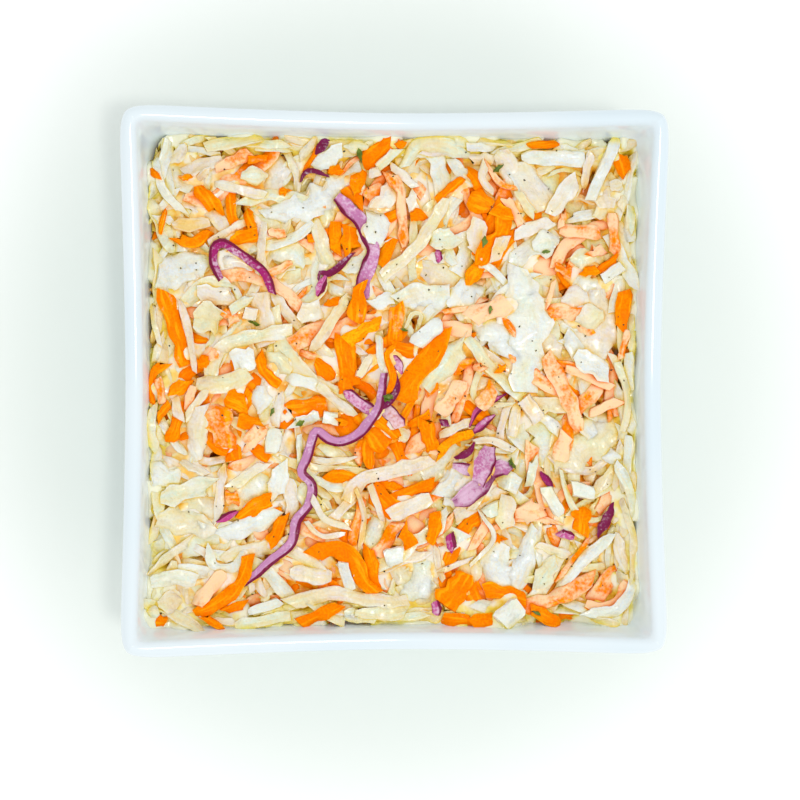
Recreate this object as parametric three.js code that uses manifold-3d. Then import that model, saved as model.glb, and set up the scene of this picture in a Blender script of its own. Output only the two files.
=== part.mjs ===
// A square white porcelain bowl with raised corners, filled with coleslaw.
//
// Millimetres, +Z up. The origin is the middle of the foot, on the table. The bowl is a turned wall
// section squared up: each point of the section goes round the axis on a superellipse instead of a
// circle, with corners that sharpen, flare and rise from the foot to the rim. The coleslaw is one
// solid: a low mound that fills the bowl to just under the rim, with long cut strands lying half sunk
// in its top, kept clear of the wall.

import * as THREE from "three";
import { mergeVertices } from "three/addons/utils/BufferGeometryUtils.js";
import Module from "manifold-3d";

const wasm = await Module();
wasm.setup();

// Bowl
const RIM_HALF = 78.8; // outside, at the middle of a side
const RIM_HEIGHT = 55; // top of the lip at the middle of a side
const CORNER_RISE = 7; // how much higher the lip is at a corner
const CORNER_FLARE = 1.2; // how much further out the lip is at a corner
const SIDE_CURVE = 1.6; // the sides bow as this power of the distance from their middle
const WALL = 4.6;
const RIM_CORNER_RADIUS = 7.3;
const FOOT_CORNER_RADIUS = 18;
const LEAST_CORNER_RADIUS = 2.5; // of the inside's corners
const FOOT_HALF = 47;
const FOOT_HEIGHT = 3;
const FOOT_WIDTH = 5;
const FOOT_EDGE = 0.8; // bevel on the foot's outer edge
const FOOT_SLOPE = 1; // sideways run of the foot's inner and outer side
const FOOT_RECESS = 1.8; // how far the underside is raised inside the foot
const BELLY_OUT = 19; // how far the wall's curve leaves the foot level
const BELLY_DOWN = 25; // how far it comes straight down from the rim
const RIM_SLOPE = 1 / 4; // sideways run for each mm down, at the rim
const FLOOR_THICKNESS = 5.5;

// Coleslaw
const STRAND_GAP = 0.5; // kept free between the strands and the bowl
const MOUND_GAP = 0.9; // kept free between the mound under them and the bowl
const SLAW_EDGE_HEIGHT = 45.5; // top of the mound at the wall
const SLAW_DOME = 2.3; // how much higher the mound is in the middle
const STRAND_ROWS = 7; // strands lie on a jittered grid of this many rows and columns
const STRAND_JITTER = 0.33; // of the grid's pitch
const STRAND_LIFT = [0, 0.8]; // height of a strand's middle above the mound
const STRAND_LENGTH = [20, 44];
const STRAND_WIDTH = [4, 8.5];
const STRAND_THICKNESS = [1.8, 2.8];
const STRAND_TILT = 0.09; // radians
const STRAND_SAG = 0.0022; // drop per mm squared from a strand's middle
const STRAND_BEND = 0.006; // sideways, per mm squared from a strand's middle
const SEED = 11;

// Facets
const COLUMNS = 56;
const CORNER_CROWDING = 1.9; // above 1, columns crowd towards the corners
const WALL_STEPS = 9;
const LIP_STEPS = 6;
const MOUND_RINGS = 4;
const MOUND_SIDE_SHARES = [0.04, 0.12, 0.25, 0.42, 0.6, 0.8]; // closer where the wall curves most
const BOWL_FLOOR_SHARES = [0.92, 0.5, 0];
const WALL_SEARCH_STEPS = 24;

const lipRadius = WALL / 2;
const { abs, cos, log, max, min, PI, sin } = Math;

const wallCurve = new THREE.CubicBezierCurve(
  new THREE.Vector2(FOOT_HALF + FOOT_SLOPE, FOOT_HEIGHT),
  new THREE.Vector2(FOOT_HALF + BELLY_OUT, FOOT_HEIGHT),
  new THREE.Vector2(RIM_HALF - BELLY_DOWN * RIM_SLOPE, RIM_HEIGHT - lipRadius - BELLY_DOWN),
  new THREE.Vector2(RIM_HALF, RIM_HEIGHT - lipRadius),
);

// A point of the wall section: t runs from the foot to the rim, inset is the depth under the outside.
function wallPoint(t, inset) {
  const p = wallCurve.getPoint(t);
  const along = wallCurve.getTangent(t);
  return new THREE.Vector2(p.x - along.y * inset, p.y + along.x * inset);
}

// Superellipse exponent of a square of this half width whose corners look rounded to this radius.
function squareness(half, radius) {
  const share = min(radius / max(half, 1e-6), 1);
  return -log(2) / log(1 - (1 - Math.SQRT1_2) * share);
}

// How near a direction is to a corner: 0 at the middle of a side, 1 at the corner.
function cornerShare(angle) {
  const c = abs(cos(angle));
  const s = abs(sin(angle));
  return min(c, s) / max(c, s);
}

const heightShare = (z) => max(z, 0) / RIM_HEIGHT;

// How far the corners have come out and up at this half width, height and direction, 0 to 1.
function cornerGrowth(half, z, angle) {
  return min(half / FOOT_HALF, 1) * heightShare(z) ** 2 * cornerShare(angle) ** SIDE_CURVE;
}

// The bowl's outline point in this direction for a section point (half, z), inset under the outside.
function squaredPoint(half, z, inset, angle) {
  const corner = THREE.MathUtils.lerp(FOOT_CORNER_RADIUS, RIM_CORNER_RADIUS, heightShare(z));
  const n = squareness(half, max(corner - inset, LEAST_CORNER_RADIUS));
  const growth = cornerGrowth(half, z, angle);
  const reach = (half + CORNER_FLARE * growth) / (abs(cos(angle)) ** n + abs(sin(angle)) ** n) ** (1 / n);
  return new THREE.Vector3(reach * cos(angle), reach * sin(angle), z + CORNER_RISE * growth);
}

// Lathe columns are even in angle: this moves them towards the corners, quadrant by quadrant.
function crowded(angle) {
  const quadrant = Math.floor(angle / (PI / 2) + 1e-9);
  const t = (angle - (quadrant * PI) / 2) / (PI / 4) - 1;
  return ((quadrant + 0.5) * PI) / 2 + (PI / 4) * Math.sign(t) * abs(t) ** CORNER_CROWDING;
}

// Turns a closed section, then moves each vertex to where place(half, z, angle, index) says.
function squaredLathe(section, place) {
  const g = new THREE.LatheGeometry(section, COLUMNS);
  const at = g.getAttribute("position");
  for (let i = 0; i < at.count; i++) {
    const column = Math.floor(i / section.length) % COLUMNS;
    const k = i % section.length;
    const p = place(section[k].x, section[k].y, crowded((column * 2 * PI) / COLUMNS), k);
    at.setXYZ(i, p.x, p.y, p.z);
  }
  return bare(g);
}

// Only the positions, with shared vertices merged, which a solid needs.
function bare(g) {
  g.deleteAttribute("normal");
  g.deleteAttribute("uv");
  return mergeVertices(g, 1e-4);
}

function toSolid(g) {
  return new wasm.Manifold(
    new wasm.Mesh({
      numProp: 3,
      vertProperties: new Float32Array(g.getAttribute("position").array),
      triVerts: new Uint32Array(g.index.array),
    }),
  );
}

function toGeometry(solid) {
  const m = solid.getMesh();
  return new THREE.BufferGeometry()
    .setAttribute("position", new THREE.BufferAttribute(m.vertProperties, 3))
    .setIndex(new THREE.BufferAttribute(m.triVerts, 1));
}

// Seeded random numbers (mulberry32), so that the strands lie the same way each time.
let randomState = SEED;
function random() {
  randomState = (randomState + 0x6d2b79f5) | 0;
  let t = Math.imul(randomState ^ (randomState >>> 15), 1 | randomState);
  t = (t + Math.imul(t ^ (t >>> 7), 61 | t)) ^ t;
  return ((t ^ (t >>> 14)) >>> 0) / 4294967296;
}
const between = ([low, high]) => low + (high - low) * random();
const around = (spread) => between([-spread, spread]);

// The bowl

function bowlSection() {
  const points = [];
  const insets = [];
  const add = (x, y, inset) => {
    points.push(new THREE.Vector2(x, y));
    insets.push(inset);
  };
  const footInside = FOOT_HALF - FOOT_WIDTH;
  add(0, FOOT_RECESS, 0);
  add(footInside / 2, FOOT_RECESS, 0);
  add(footInside - FOOT_SLOPE, FOOT_RECESS, 0);
  add(footInside, 0, 0);
  add(FOOT_HALF - FOOT_EDGE, 0, 0);
  add(FOOT_HALF, FOOT_EDGE, 0);
  for (let i = 0; i <= WALL_STEPS; i++) {
    const p = wallPoint(i / WALL_STEPS, 0);
    add(p.x, p.y, 0);
  }
  const middle = wallPoint(1, lipRadius);
  const outward = wallPoint(1, 0).sub(middle);
  for (let i = 1; i < LIP_STEPS; i++) {
    const p = outward.clone().rotateAround(new THREE.Vector2(), (i * PI) / LIP_STEPS).add(middle);
    add(p.x, p.y, (WALL * (1 - cos((i * PI) / LIP_STEPS))) / 2);
  }
  const floor = FOOT_RECESS + FLOOR_THICKNESS;
  for (let i = WALL_STEPS; i >= 0; i--) {
    const p = wallPoint(i / WALL_STEPS, WALL);
    if (p.y > floor) add(p.x, p.y, WALL);
  }
  const edge = points.at(-1).x;
  for (const share of BOWL_FLOOR_SHARES) add(edge * share, floor, WALL);
  return { points, insets };
}

function bowlGeometry() {
  const { points, insets } = bowlSection();
  return squaredLathe(points, (half, z, angle, k) => squaredPoint(half, z, insets[k], angle));
}

// The coleslaw

// The inside wall at this real height and direction, inset further by the gap.
function insidePoint(z, angle, gap) {
  let low = 0;
  let high = 1;
  const inset = WALL + gap;
  const at = (t) => {
    const p = wallPoint(t, inset);
    return squaredPoint(p.x, p.y, inset, angle);
  };
  for (let i = 0; i < WALL_SEARCH_STEPS; i++) {
    const middle = (low + high) / 2;
    if (at(middle).z < z) low = middle;
    else high = middle;
  }
  return at(low);
}

// A solid that fills the inside of the bowl up to a height that the share of the way out decides.
function fillGeometry(gap, rings, topHeight) {
  const bottom = FOOT_RECESS + FLOOR_THICKNESS + gap;
  const edge = topHeight(1);
  const section = [new THREE.Vector2(0, bottom)];
  for (const share of MOUND_SIDE_SHARES)
    section.push(new THREE.Vector2(1, bottom + (edge - bottom) * share));
  for (let i = 0; i <= rings; i++) {
    const share = 1 - i / rings;
    section.push(new THREE.Vector2(share, topHeight(share)));
  }
  return squaredLathe(section, (share, z, angle) => {
    const p = insidePoint(z, angle, gap);
    return new THREE.Vector3(p.x * share, p.y * share, z);
  });
}

const moundHeight = (share) => SLAW_EDGE_HEIGHT + SLAW_DOME * (1 - share * share);

// A flat strand along X, bent sideways and drooping towards its ends, which are narrower.
function strandGeometry() {
  const length = between(STRAND_LENGTH);
  const width = between(STRAND_WIDTH);
  const g = new THREE.BoxGeometry(length, width, between(STRAND_THICKNESS), 4, 1, 1);
  const bend = around(STRAND_BEND);
  const at = g.getAttribute("position");
  for (let i = 0; i < at.count; i++) {
    const x = at.getX(i);
    const taper = 1 - 0.5 * abs((2 * x) / length) ** 3;
    at.setY(i, at.getY(i) * taper + bend * x * x);
    at.setZ(i, at.getZ(i) - STRAND_SAG * x * x);
  }
  g.rotateX(around(2 * STRAND_TILT));
  g.rotateY(around(STRAND_TILT));
  g.rotateZ(around(PI));
  return g;
}

// The mound with its strands, cut clear of the wall. A crumb that the cut leaves loose is dropped.
function slawGeometry() {
  let heap = toSolid(fillGeometry(MOUND_GAP, MOUND_RINGS, moundHeight));
  const reach = insidePoint(SLAW_EDGE_HEIGHT, 0, MOUND_GAP).x - max(...STRAND_WIDTH) / 2;
  const pitch = (2 * reach) / STRAND_ROWS;
  const place = (index) => pitch * (index + 0.5 + around(STRAND_JITTER)) - reach;
  for (let row = 0; row < STRAND_ROWS; row++)
    for (let column = 0; column < STRAND_ROWS; column++) {
      const x = place(column);
      const y = place(row);
      const z = moundHeight(max(abs(x), abs(y)) / RIM_HALF) + between(STRAND_LIFT);
      heap = heap.add(toSolid(bare(strandGeometry().translate(x, y, z))));
    }
  const envelope = toSolid(fillGeometry(STRAND_GAP, 1, () => RIM_HEIGHT - lipRadius));
  const bodies = heap.intersect(envelope).decompose();
  return toGeometry(bodies.reduce((a, b) => (b.volume() > a.volume() ? b : a)));
}

// The scene graph

function mesh(name, geometry, material) {
  const made = new THREE.Mesh(geometry, new THREE.MeshStandardMaterial(material));
  made.name = name;
  return made;
}

const group = new THREE.Group();
group.add(
  mesh("bowl", bowlGeometry(), { color: "#f4f5f5", roughness: 0.12, metalness: 0 }),
  mesh("coleslaw", slawGeometry(), { color: "#f1dfae", roughness: 0.4, metalness: 0 }),
);

export default group;
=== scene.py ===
"""Coleslaw in a square porcelain bowl: the looks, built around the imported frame.

The frame's axes hold: +Z up, with the origin in the middle of the foot. Sizes are in millimetres
until a mesh, light or camera is made, which is in metres.
"""

import math

import bpy
import numpy as np
from mathutils import Euler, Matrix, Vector


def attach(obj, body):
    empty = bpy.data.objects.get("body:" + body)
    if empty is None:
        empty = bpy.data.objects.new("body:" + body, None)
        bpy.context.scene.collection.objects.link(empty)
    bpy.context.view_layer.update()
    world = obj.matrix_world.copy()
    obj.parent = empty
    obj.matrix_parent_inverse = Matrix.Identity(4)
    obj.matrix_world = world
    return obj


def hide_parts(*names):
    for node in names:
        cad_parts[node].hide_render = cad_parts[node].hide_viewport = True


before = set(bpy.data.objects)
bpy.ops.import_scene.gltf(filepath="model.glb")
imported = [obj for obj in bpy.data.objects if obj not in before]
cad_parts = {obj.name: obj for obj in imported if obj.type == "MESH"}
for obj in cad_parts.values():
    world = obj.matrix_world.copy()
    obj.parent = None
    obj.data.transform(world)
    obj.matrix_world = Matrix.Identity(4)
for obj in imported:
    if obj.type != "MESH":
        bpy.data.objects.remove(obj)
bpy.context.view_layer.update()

MM = 0.001

# ---- Measures ----

# Camera: almost straight over the bowl, a little to its left
VIEW_PIXELS = 800
CAMERA_PLACE = (-31.2, 5.3, 602.7)
CAMERA_TILT = (1.105, 3.392, -0.005)  # degrees about X, Y and Z
LENS = 84.54
SENSOR = 36.0

# Bowl: the frame's own measures, a hair low and narrow so that the round lip stays in its facets
RIM_HALF = 78.5
RIM_HEIGHT = 54.75
CORNER_RISE = 7.0
CORNER_FLARE = 1.4
SIDE_CURVE = 1.6
WALL = 4.6
LIP_SWELL = 0.8  # how much thicker the rolled lip is
LIP_REACH = 5.0
RIM_CORNER_RADIUS = 7.3
FOOT_CORNER_RADIUS = 18.0
LEAST_CORNER_RADIUS = 2.5
FOOT_HALF = 47.0
FOOT_HEIGHT = 3.0
FOOT_WIDTH = 5.0
FOOT_EDGE = 0.8
FOOT_SLOPE = 1.0
FOOT_RECESS = 1.8
BELLY_OUT = 19.0
BELLY_DOWN = 25.0
RIM_SLOPE = 0.25
FLOOR_THICKNESS = 5.5
BOWL_COLUMNS = 288
CORE_COLUMNS = 144
CORNER_CROWDING = 1.7

# Heap of slaw
CORE_TOP = 40.5
CORE_GAP = 0.25
CORE_UNDER = 3.4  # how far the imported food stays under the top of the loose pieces
EDGE_LEVEL = 45.3  # mean top of the heap near the wall
DOME = 2.2  # how much higher it is in the middle
BANK = 2.6  # how far it climbs at the wall itself
BANK_WIDTH = 5.0
WALL_CLEARANCE = -0.6  # the pieces press against the glaze
BARE_CORNER = 3.2  # the food leaves one corner of the bowl bare: how far it stays out of it
BARE_DROP = 7.0
FILL_UNDER = 0.9  # how far the fill stops under the wanted top, for what lies on it
SEED = 7

# ---- Tools ----

# Nodes that are used often: their kind, where plain inputs go in turn, as a socket's number or a
# setting's name, their settings, and their output if it isn't the first in use
NODES = {
    "mix": ("ShaderNodeMix", (0, 6, 7), {"data_type": "RGBA"}, None),
    "range": ("ShaderNodeMapRange", (0, 1, 2, 3, 4), {"interpolation_type": "SMOOTHSTEP"}, None),
    "stretch": ("ShaderNodeVectorMath", (0, 3), {"operation": "SCALE"}, None),
    "shift": ("ShaderNodeVectorMath", (0, 1), {"operation": "ADD"}, None),
    "number": ("GeometryNodeInputNamedAttribute", (0,), {"data_type": "FLOAT"}, None),
    "vector": ("GeometryNodeInputNamedAttribute", (0,), {"data_type": "FLOAT_VECTOR"}, None),
    "stored": ("ShaderNodeAttribute", ("attribute_name",), {}, "Fac"),
    "place": ("ShaderNodeTexCoord", (), {}, "Object"),
}
for operation in ("ADD", "SUBTRACT", "MULTIPLY", "DIVIDE", "MULTIPLY_ADD", "POWER", "ABSOLUTE",
                  "SIGN", "MINIMUM", "MAXIMUM", "SINE", "COSINE"):
    NODES[operation.lower()] = ("ShaderNodeMath", (0, 1, 2), {"operation": operation}, None)


def add(tree, word, *inputs, **settings):
    """Adds a node, by its word in NODES or its kind. Inputs follow NODES, or are a dict by socket.

    An input is a value, a hex colour, an output, or a node, which means its first output in use.
    """
    kind, places, usual, output = NODES.get(word, (word, (), {}, None))
    node = tree.nodes.new(kind)
    by_dict = bool(inputs) and isinstance(inputs[0], dict)
    given = dict(inputs[0] if by_dict else zip(places, inputs))
    settings = {**usual, **settings}
    if not by_dict:
        settings.update({place: given.pop(place) for place in places if isinstance(place, str)})
    for name, value in settings.items():
        setattr(node, name, value)
    for socket, value in given.items():
        if isinstance(value, bpy.types.Node):
            value = next(out for out in value.outputs if out.enabled)
        if isinstance(value, bpy.types.NodeSocket):
            tree.links.new(value, node.inputs[socket])
        else:
            colour = isinstance(value, str) and value.startswith("#")
            node.inputs[socket].default_value = paint(value) if colour else value
    return node.outputs[output] if output else node


def paint(hex_colour):
    """An sRGB hex colour as linear RGBA."""
    channels = [int(hex_colour[i : i + 2], 16) / 255 for i in (1, 3, 5)]
    linear = [c / 12.92 if c <= 0.04045 else ((c + 0.055) / 1.055) ** 2.4 for c in channels]
    return (*linear, 1.0)


def new_tree(name, sockets):
    """A Geometry Nodes tree with a geometry in and out and these named inputs."""
    tree = bpy.data.node_groups.new(name, "GeometryNodeTree")
    tree.interface.new_socket("Geometry", in_out="INPUT", socket_type="NodeSocketGeometry")
    for label, kind in sockets.items():
        tree.interface.new_socket(label, in_out="INPUT", socket_type="NodeSocket" + kind)
    tree.interface.new_socket("Geometry", in_out="OUTPUT", socket_type="NodeSocketGeometry")
    return tree, tree.nodes.new("NodeGroupInput").outputs


def end_tree(tree, geometry, material):
    """Realizes, sets the material and closes the tree."""
    real = add(tree, "GeometryNodeRealizeInstances", {"Geometry": geometry})
    dressed = add(tree, "GeometryNodeSetMaterial", {"Geometry": real, "Material": material})
    add(tree, "NodeGroupOutput", {"Geometry": dressed})


def new_object(name, points, edges=(), faces=(), attributes=None):
    """A mesh object from points in metres, with point attributes by name."""
    mesh = bpy.data.meshes.new(name)
    mesh.from_pydata(points, edges, faces)
    for label, values in (attributes or {}).items():
        values = np.asarray(values, np.float32)
        vector = values.ndim == 2
        attribute = mesh.attributes.new(label, "FLOAT_VECTOR" if vector else "FLOAT", "POINT")
        attribute.data.foreach_set("vector" if vector else "value", values.ravel())
    thing = bpy.data.objects.new(name, mesh)
    bpy.context.scene.collection.objects.link(thing)
    return thing


def points_of(mesh):
    points = np.zeros(len(mesh.vertices) * 3, np.float32)
    mesh.vertices.foreach_get("co", points)
    return points.reshape(-1, 3)


def grow(thing, tree, values):
    """Runs a Geometry Nodes tree on an object, and leaves the result as its plain mesh."""
    modifier = thing.modifiers.new("grow", "NODES")
    modifier.node_group = tree
    for item in tree.interface.items_tree:
        if item.in_out == "INPUT" and item.name in values:
            modifier[item.identifier] = values[item.name]
    graph = bpy.context.evaluated_depsgraph_get()
    grown = thing.evaluated_get(graph)
    mesh = bpy.data.meshes.new_from_object(grown, preserve_all_data_layers=True, depsgraph=graph)
    thing.modifiers.clear()
    thing.data = mesh
    return thing


# ---- Camera ----


def make_camera():
    camera = bpy.data.objects.new("camera", bpy.data.cameras.new("camera"))
    camera.data.lens = LENS
    camera.data.sensor_width = SENSOR
    camera.location = Vector(CAMERA_PLACE) * MM
    camera.rotation_mode = "ZYX"
    camera.rotation_euler = [-math.radians(t) for t in CAMERA_TILT]
    bpy.context.scene.collection.objects.link(camera)
    bpy.context.scene.camera = camera
    return camera


def seen_at(pixels, level):
    """The points in millimetres, at this height, that the camera sees at these pixels."""
    turn = Euler([-math.radians(t) for t in CAMERA_TILT], "ZYX").to_matrix()
    focal = LENS / SENSOR * VIEW_PIXELS
    pixels = np.asarray(pixels, float)
    middle = VIEW_PIXELS / 2
    rays = np.stack(
        [pixels[:, 0] - middle, middle - pixels[:, 1], np.full(len(pixels), -focal)], axis=1
    )
    rays = rays @ np.array(turn).T
    reach = (level - CAMERA_PLACE[2]) / rays[:, 2]
    return np.array(CAMERA_PLACE)[:2] + rays[:, :2] * reach[:, None]


# ---- Bowl ----


def wall_point(t, inset):
    """Half width and height of the wall's section, t from foot to rim, inset under the outside."""
    posts = np.array([
        [FOOT_HALF + FOOT_SLOPE, FOOT_HEIGHT],
        [FOOT_HALF + BELLY_OUT, FOOT_HEIGHT],
        [RIM_HALF - BELLY_DOWN * RIM_SLOPE, RIM_HEIGHT - WALL / 2 - BELLY_DOWN],
        [RIM_HALF, RIM_HEIGHT - WALL / 2],
    ])
    t = np.atleast_1d(np.asarray(t, float))[:, None]
    s = 1 - t
    point = s**3 * posts[0] + 3 * s**2 * t * posts[1] + 3 * s * t**2 * posts[2] + t**3 * posts[3]
    steps = np.diff(posts, axis=0)
    along = s**2 * steps[0] + 2 * s * t * steps[1] + t**2 * steps[2]
    along /= np.linalg.norm(along, axis=1, keepdims=True)
    return point + inset * np.stack([-along[:, 1], along[:, 0]], axis=1)


def bowl_section():
    """Half width, height and depth under the outside, from the underside's middle to the floor's."""
    rows = []
    foot_inside = FOOT_HALF - FOOT_WIDTH
    for half in np.linspace(0, foot_inside - 2 * FOOT_SLOPE, 6):
        rows.append((half, FOOT_RECESS, 0))
    for turn in np.linspace(0, 1, 6):
        drop = (1 - math.cos(turn * math.pi)) / 2
        rows.append((foot_inside - 1.6 * FOOT_SLOPE * (1 - turn), FOOT_RECESS * (1 - drop), 0))
    rows.append((FOOT_HALF - FOOT_EDGE, 0, 0))
    for turn in np.linspace(0.25, 1, 4) * math.pi / 2:
        rows.append((
            FOOT_HALF - FOOT_EDGE * (1 - math.sin(turn)),
            FOOT_EDGE * (1 - math.cos(turn)),
            0,
        ))
    for half, height in wall_point(np.linspace(0, 1, 40), 0):
        rows.append((half, height, 0))
    lip = WALL + LIP_SWELL
    middle = wall_point(1, lip / 2)[0]
    outward = wall_point(1, 0)[0] - middle
    upward = np.array([-outward[1], outward[0]]) * WALL / lip
    for turn in np.linspace(0, math.pi, 23)[1:-1]:
        c, s = math.cos(turn), math.sin(turn)
        half, height = middle + outward * c + upward * s
        rows.append((half, height, lip * (1 - c) / 2))
    floor = FOOT_RECESS + FLOOR_THICKNESS
    for t in np.linspace(1, 0, 60):
        fall = RIM_HEIGHT - WALL / 2 - wall_point(t, WALL)[0, 1]
        inset = WALL + LIP_SWELL * math.exp(-(fall / LIP_REACH) ** 2)
        half, height = wall_point(t, inset)[0]
        if height > floor:
            rows.append((half, height, WALL))
    edge = rows[-1][0]
    for share in (0.9, 0.6, 0.3, 0):
        rows.append((edge * share, floor, WALL))
    return np.array(rows)


def core_section():
    """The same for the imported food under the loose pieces: up the wall, then in over its top."""
    floor = FOOT_RECESS + FLOOR_THICKNESS + CORE_GAP
    inset = WALL + CORE_GAP
    wall = wall_point(np.linspace(0, 1, 60), inset)
    wall = wall[(wall[:, 1] > floor) & (wall[:, 1] < CORE_TOP)]
    rows = [(wall[0, 0] * share, floor, inset) for share in (0, 0.5, 0.95)]
    rows += [(half, height, inset) for half, height in wall]
    edge = wall[-1, 0] - 0.3
    for share in np.linspace(1, 0, 60):
        rows.append((edge * share, CORE_TOP + DOME * (1 - share**2), inset))
    return np.array(rows)


def squareness(half, radius):
    """Superellipse exponent of a square of this half width with corners of this radius."""
    share = np.minimum(radius / np.maximum(half, 1e-6), 1)
    return -math.log(2) / np.log(1 - (1 - math.sqrt(0.5)) * share)


def section_object(name, rows):
    half, height, inset = rows.T
    share = np.clip(height / RIM_HEIGHT, 0, None)
    radius = FOOT_CORNER_RADIUS + (RIM_CORNER_RADIUS - FOOT_CORNER_RADIUS) * share
    radius = np.maximum(radius - inset, LEAST_CORNER_RADIUS)
    points = [(h * MM, 0, z * MM) for h, z in zip(half, height)]
    edges = [(i, i + 1) for i in range(len(rows) - 1)]
    top = (np.arange(len(rows)) > np.argmax(height > CORE_TOP - 0.5)) & (half > 0)
    return new_object(name, points, edges, attributes={
        "half": half * MM,
        "height": height * MM,
        "squareness": squareness(half, radius),
        "growth": np.minimum(half / FOOT_HALF, 1) * share**2,
        "top": top.astype(float),
    })


def ring_object(name, columns):
    """A closed ring of points, crowded towards the four corners. Each holds its angle."""
    t = np.arange(columns) / columns * 4
    quadrant = np.floor(t)
    t = 2 * (t - quadrant) - 1
    angle = (quadrant + 0.5 + 0.5 * np.sign(t) * np.abs(t) ** CORNER_CROWDING) * math.pi / 2
    points = [(math.cos(a), math.sin(a), 0) for a in angle]
    edges = [(i, (i + 1) % columns) for i in range(columns)]
    return new_object(name, points, edges, attributes={"angle": angle})


def squared_sweep():
    """Sweeps a section round the ring on superellipses whose corners flare and rise."""
    tree, given = new_tree("Squared sweep", {
        "Section": "Object",
        "Corner flare": "Float",
        "Corner rise": "Float",
        "Side curve": "Float",
        "Material": "Material",
    })
    ring = add(tree, "GeometryNodeMeshToCurve", {"Mesh": given["Geometry"]})
    section = add(tree, "GeometryNodeObjectInfo", {"Object": given["Section"]})
    section = add(tree, "GeometryNodeMeshToCurve", {"Mesh": section.outputs["Geometry"]})
    body = add(tree, "GeometryNodeCurveToMesh", {"Curve": ring, "Profile Curve": section})
    angle, half, height, squareness_here, growth = (
        add(tree, "number", name) for name in ("angle", "half", "height", "squareness", "growth")
    )
    c = add(tree, "cosine", angle)
    s = add(tree, "sine", angle)
    c_size = add(tree, "absolute", c)
    s_size = add(tree, "absolute", s)
    share = add(tree, "divide", add(tree, "minimum", c_size, s_size),
                add(tree, "maximum", c_size, s_size))
    share = add(tree, "power", share, given["Side curve"])
    growth = add(tree, "multiply", share, growth)
    half = add(tree, "multiply_add", growth, given["Corner flare"], half)
    total = add(tree, "add", add(tree, "power", c_size, squareness_here),
                add(tree, "power", s_size, squareness_here))
    total = add(tree, "power", total, add(tree, "divide", 1.0, squareness_here))
    reach = add(tree, "divide", half, total)
    place = add(tree, "ShaderNodeCombineXYZ", {
        "X": add(tree, "multiply", reach, c),
        "Y": add(tree, "multiply", reach, s),
        "Z": add(tree, "multiply_add", growth, given["Corner rise"], height),
    })
    body = add(tree, "GeometryNodeSetPosition", {"Geometry": body, "Position": place})
    body = add(tree, "GeometryNodeMergeByDistance", {"Geometry": body, "Distance": 0.01 * MM})
    body = add(tree, "GeometryNodeSetShadeSmooth", {"Geometry": body})
    end_tree(tree, body, given["Material"])
    return tree


def sweep_square(name, rows, columns, material):
    section = section_object(name + " section", rows)
    thing = grow(ring_object(name, columns), squared_sweep_tree, {
        "Section": section,
        "Corner flare": CORNER_FLARE * MM,
        "Corner rise": CORNER_RISE * MM,
        "Side curve": SIDE_CURVE,
        "Material": material,
    })
    bpy.data.objects.remove(section)
    return thing


# ---- Heap: a height map that each cut piece is laid on ----

CELL = 0.4
MAP_REACH = 77.0
STATION_STEP = 1.1  # between two stations of a piece's path
INNER_WALL = wall_point(np.linspace(0, 1, 200), WALL)
INNER_CORNER = 4.5  # the inside's corner radius near the top of the food


def squared_distance(x, y):
    """Half width of the rounded square through each point, its bare corner cut off."""
    u = np.maximum(np.abs(x), np.abs(y))
    v = np.minimum(np.abs(x), np.abs(y))
    inner = np.maximum(2 * INNER_CORNER**2 - (u - v) ** 2, 0)
    corner = INNER_CORNER + (u + v - np.sqrt(inner)) / 2
    square = np.where(u - v < INNER_CORNER, np.maximum(corner, u), u)
    return np.maximum(square, (y - x) / 2 + BARE_CORNER)


def wall_room(z):
    """The bowl's inside half width at a height."""
    return np.interp(z, INNER_WALL[:, 1], INNER_WALL[:, 0])


def blurred(field, cells):
    """The field smoothed over about this many cells, by three box blurs."""
    for _ in range(3):
        for axis in (0, 1):
            padded = np.concatenate([
                np.repeat(np.take(field, [0], axis), cells + 1, axis),
                field,
                np.repeat(np.take(field, [-1], axis), cells, axis),
            ], axis)
            total = np.cumsum(padded, axis)
            width = 2 * cells + 1
            n = field.shape[axis]
            upper = np.take(total, np.arange(width, width + n), axis)
            lower = np.take(total, np.arange(n), axis)
            field = (upper - lower) / width
    return field


def bowed_path(random, length, bow, wiggle):
    """A level path of this length about the origin, bent to one side, with a slight wiggle."""
    n = int(np.clip(round(length / STATION_STEP), 6, 34))
    s = np.linspace(-1, 1, n)
    knots = random.normal(0, wiggle * length, 6)
    sway = np.interp(s, np.linspace(-1, 1, 6), knots)
    sway = np.convolve(np.pad(sway, 1, "edge"), (0.25, 0.5, 0.25), "valid")
    return np.column_stack([s * length / 2, bow * length * (1 - s**2) + sway])


def turned(path, angle):
    """A level path turned about the origin."""
    c, s = math.cos(angle), math.sin(angle)
    return path @ np.array([[c, s], [-s, c]])


def path_through(spots):
    """A smooth level path through these points, with its stations evenly spaced."""
    spots = np.asarray(spots, float)
    ends = np.concatenate([[2 * spots[0] - spots[1]], spots, [2 * spots[-1] - spots[-2]]])
    pieces = []
    for a, b, c, d in zip(ends, ends[1:], ends[2:], ends[3:]):
        t = np.linspace(0, 1, 12, endpoint=False)[:, None]
        pieces.append(b + t / 2 * (c - a + t * (2 * a - 5 * b + 4 * c - d
                                                + t * (3 * b - a - 3 * c + d))))
    fine = np.concatenate(pieces + [spots[-1:]])
    along = np.concatenate([[0], np.cumsum(np.linalg.norm(np.diff(fine, axis=0), axis=1))])
    n = int(np.clip(round(along[-1] / STATION_STEP), 5, 130))
    even = np.linspace(0, along[-1], n + 1)
    return np.column_stack([np.interp(even, along, fine[:, i]) for i in (0, 1)])


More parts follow.
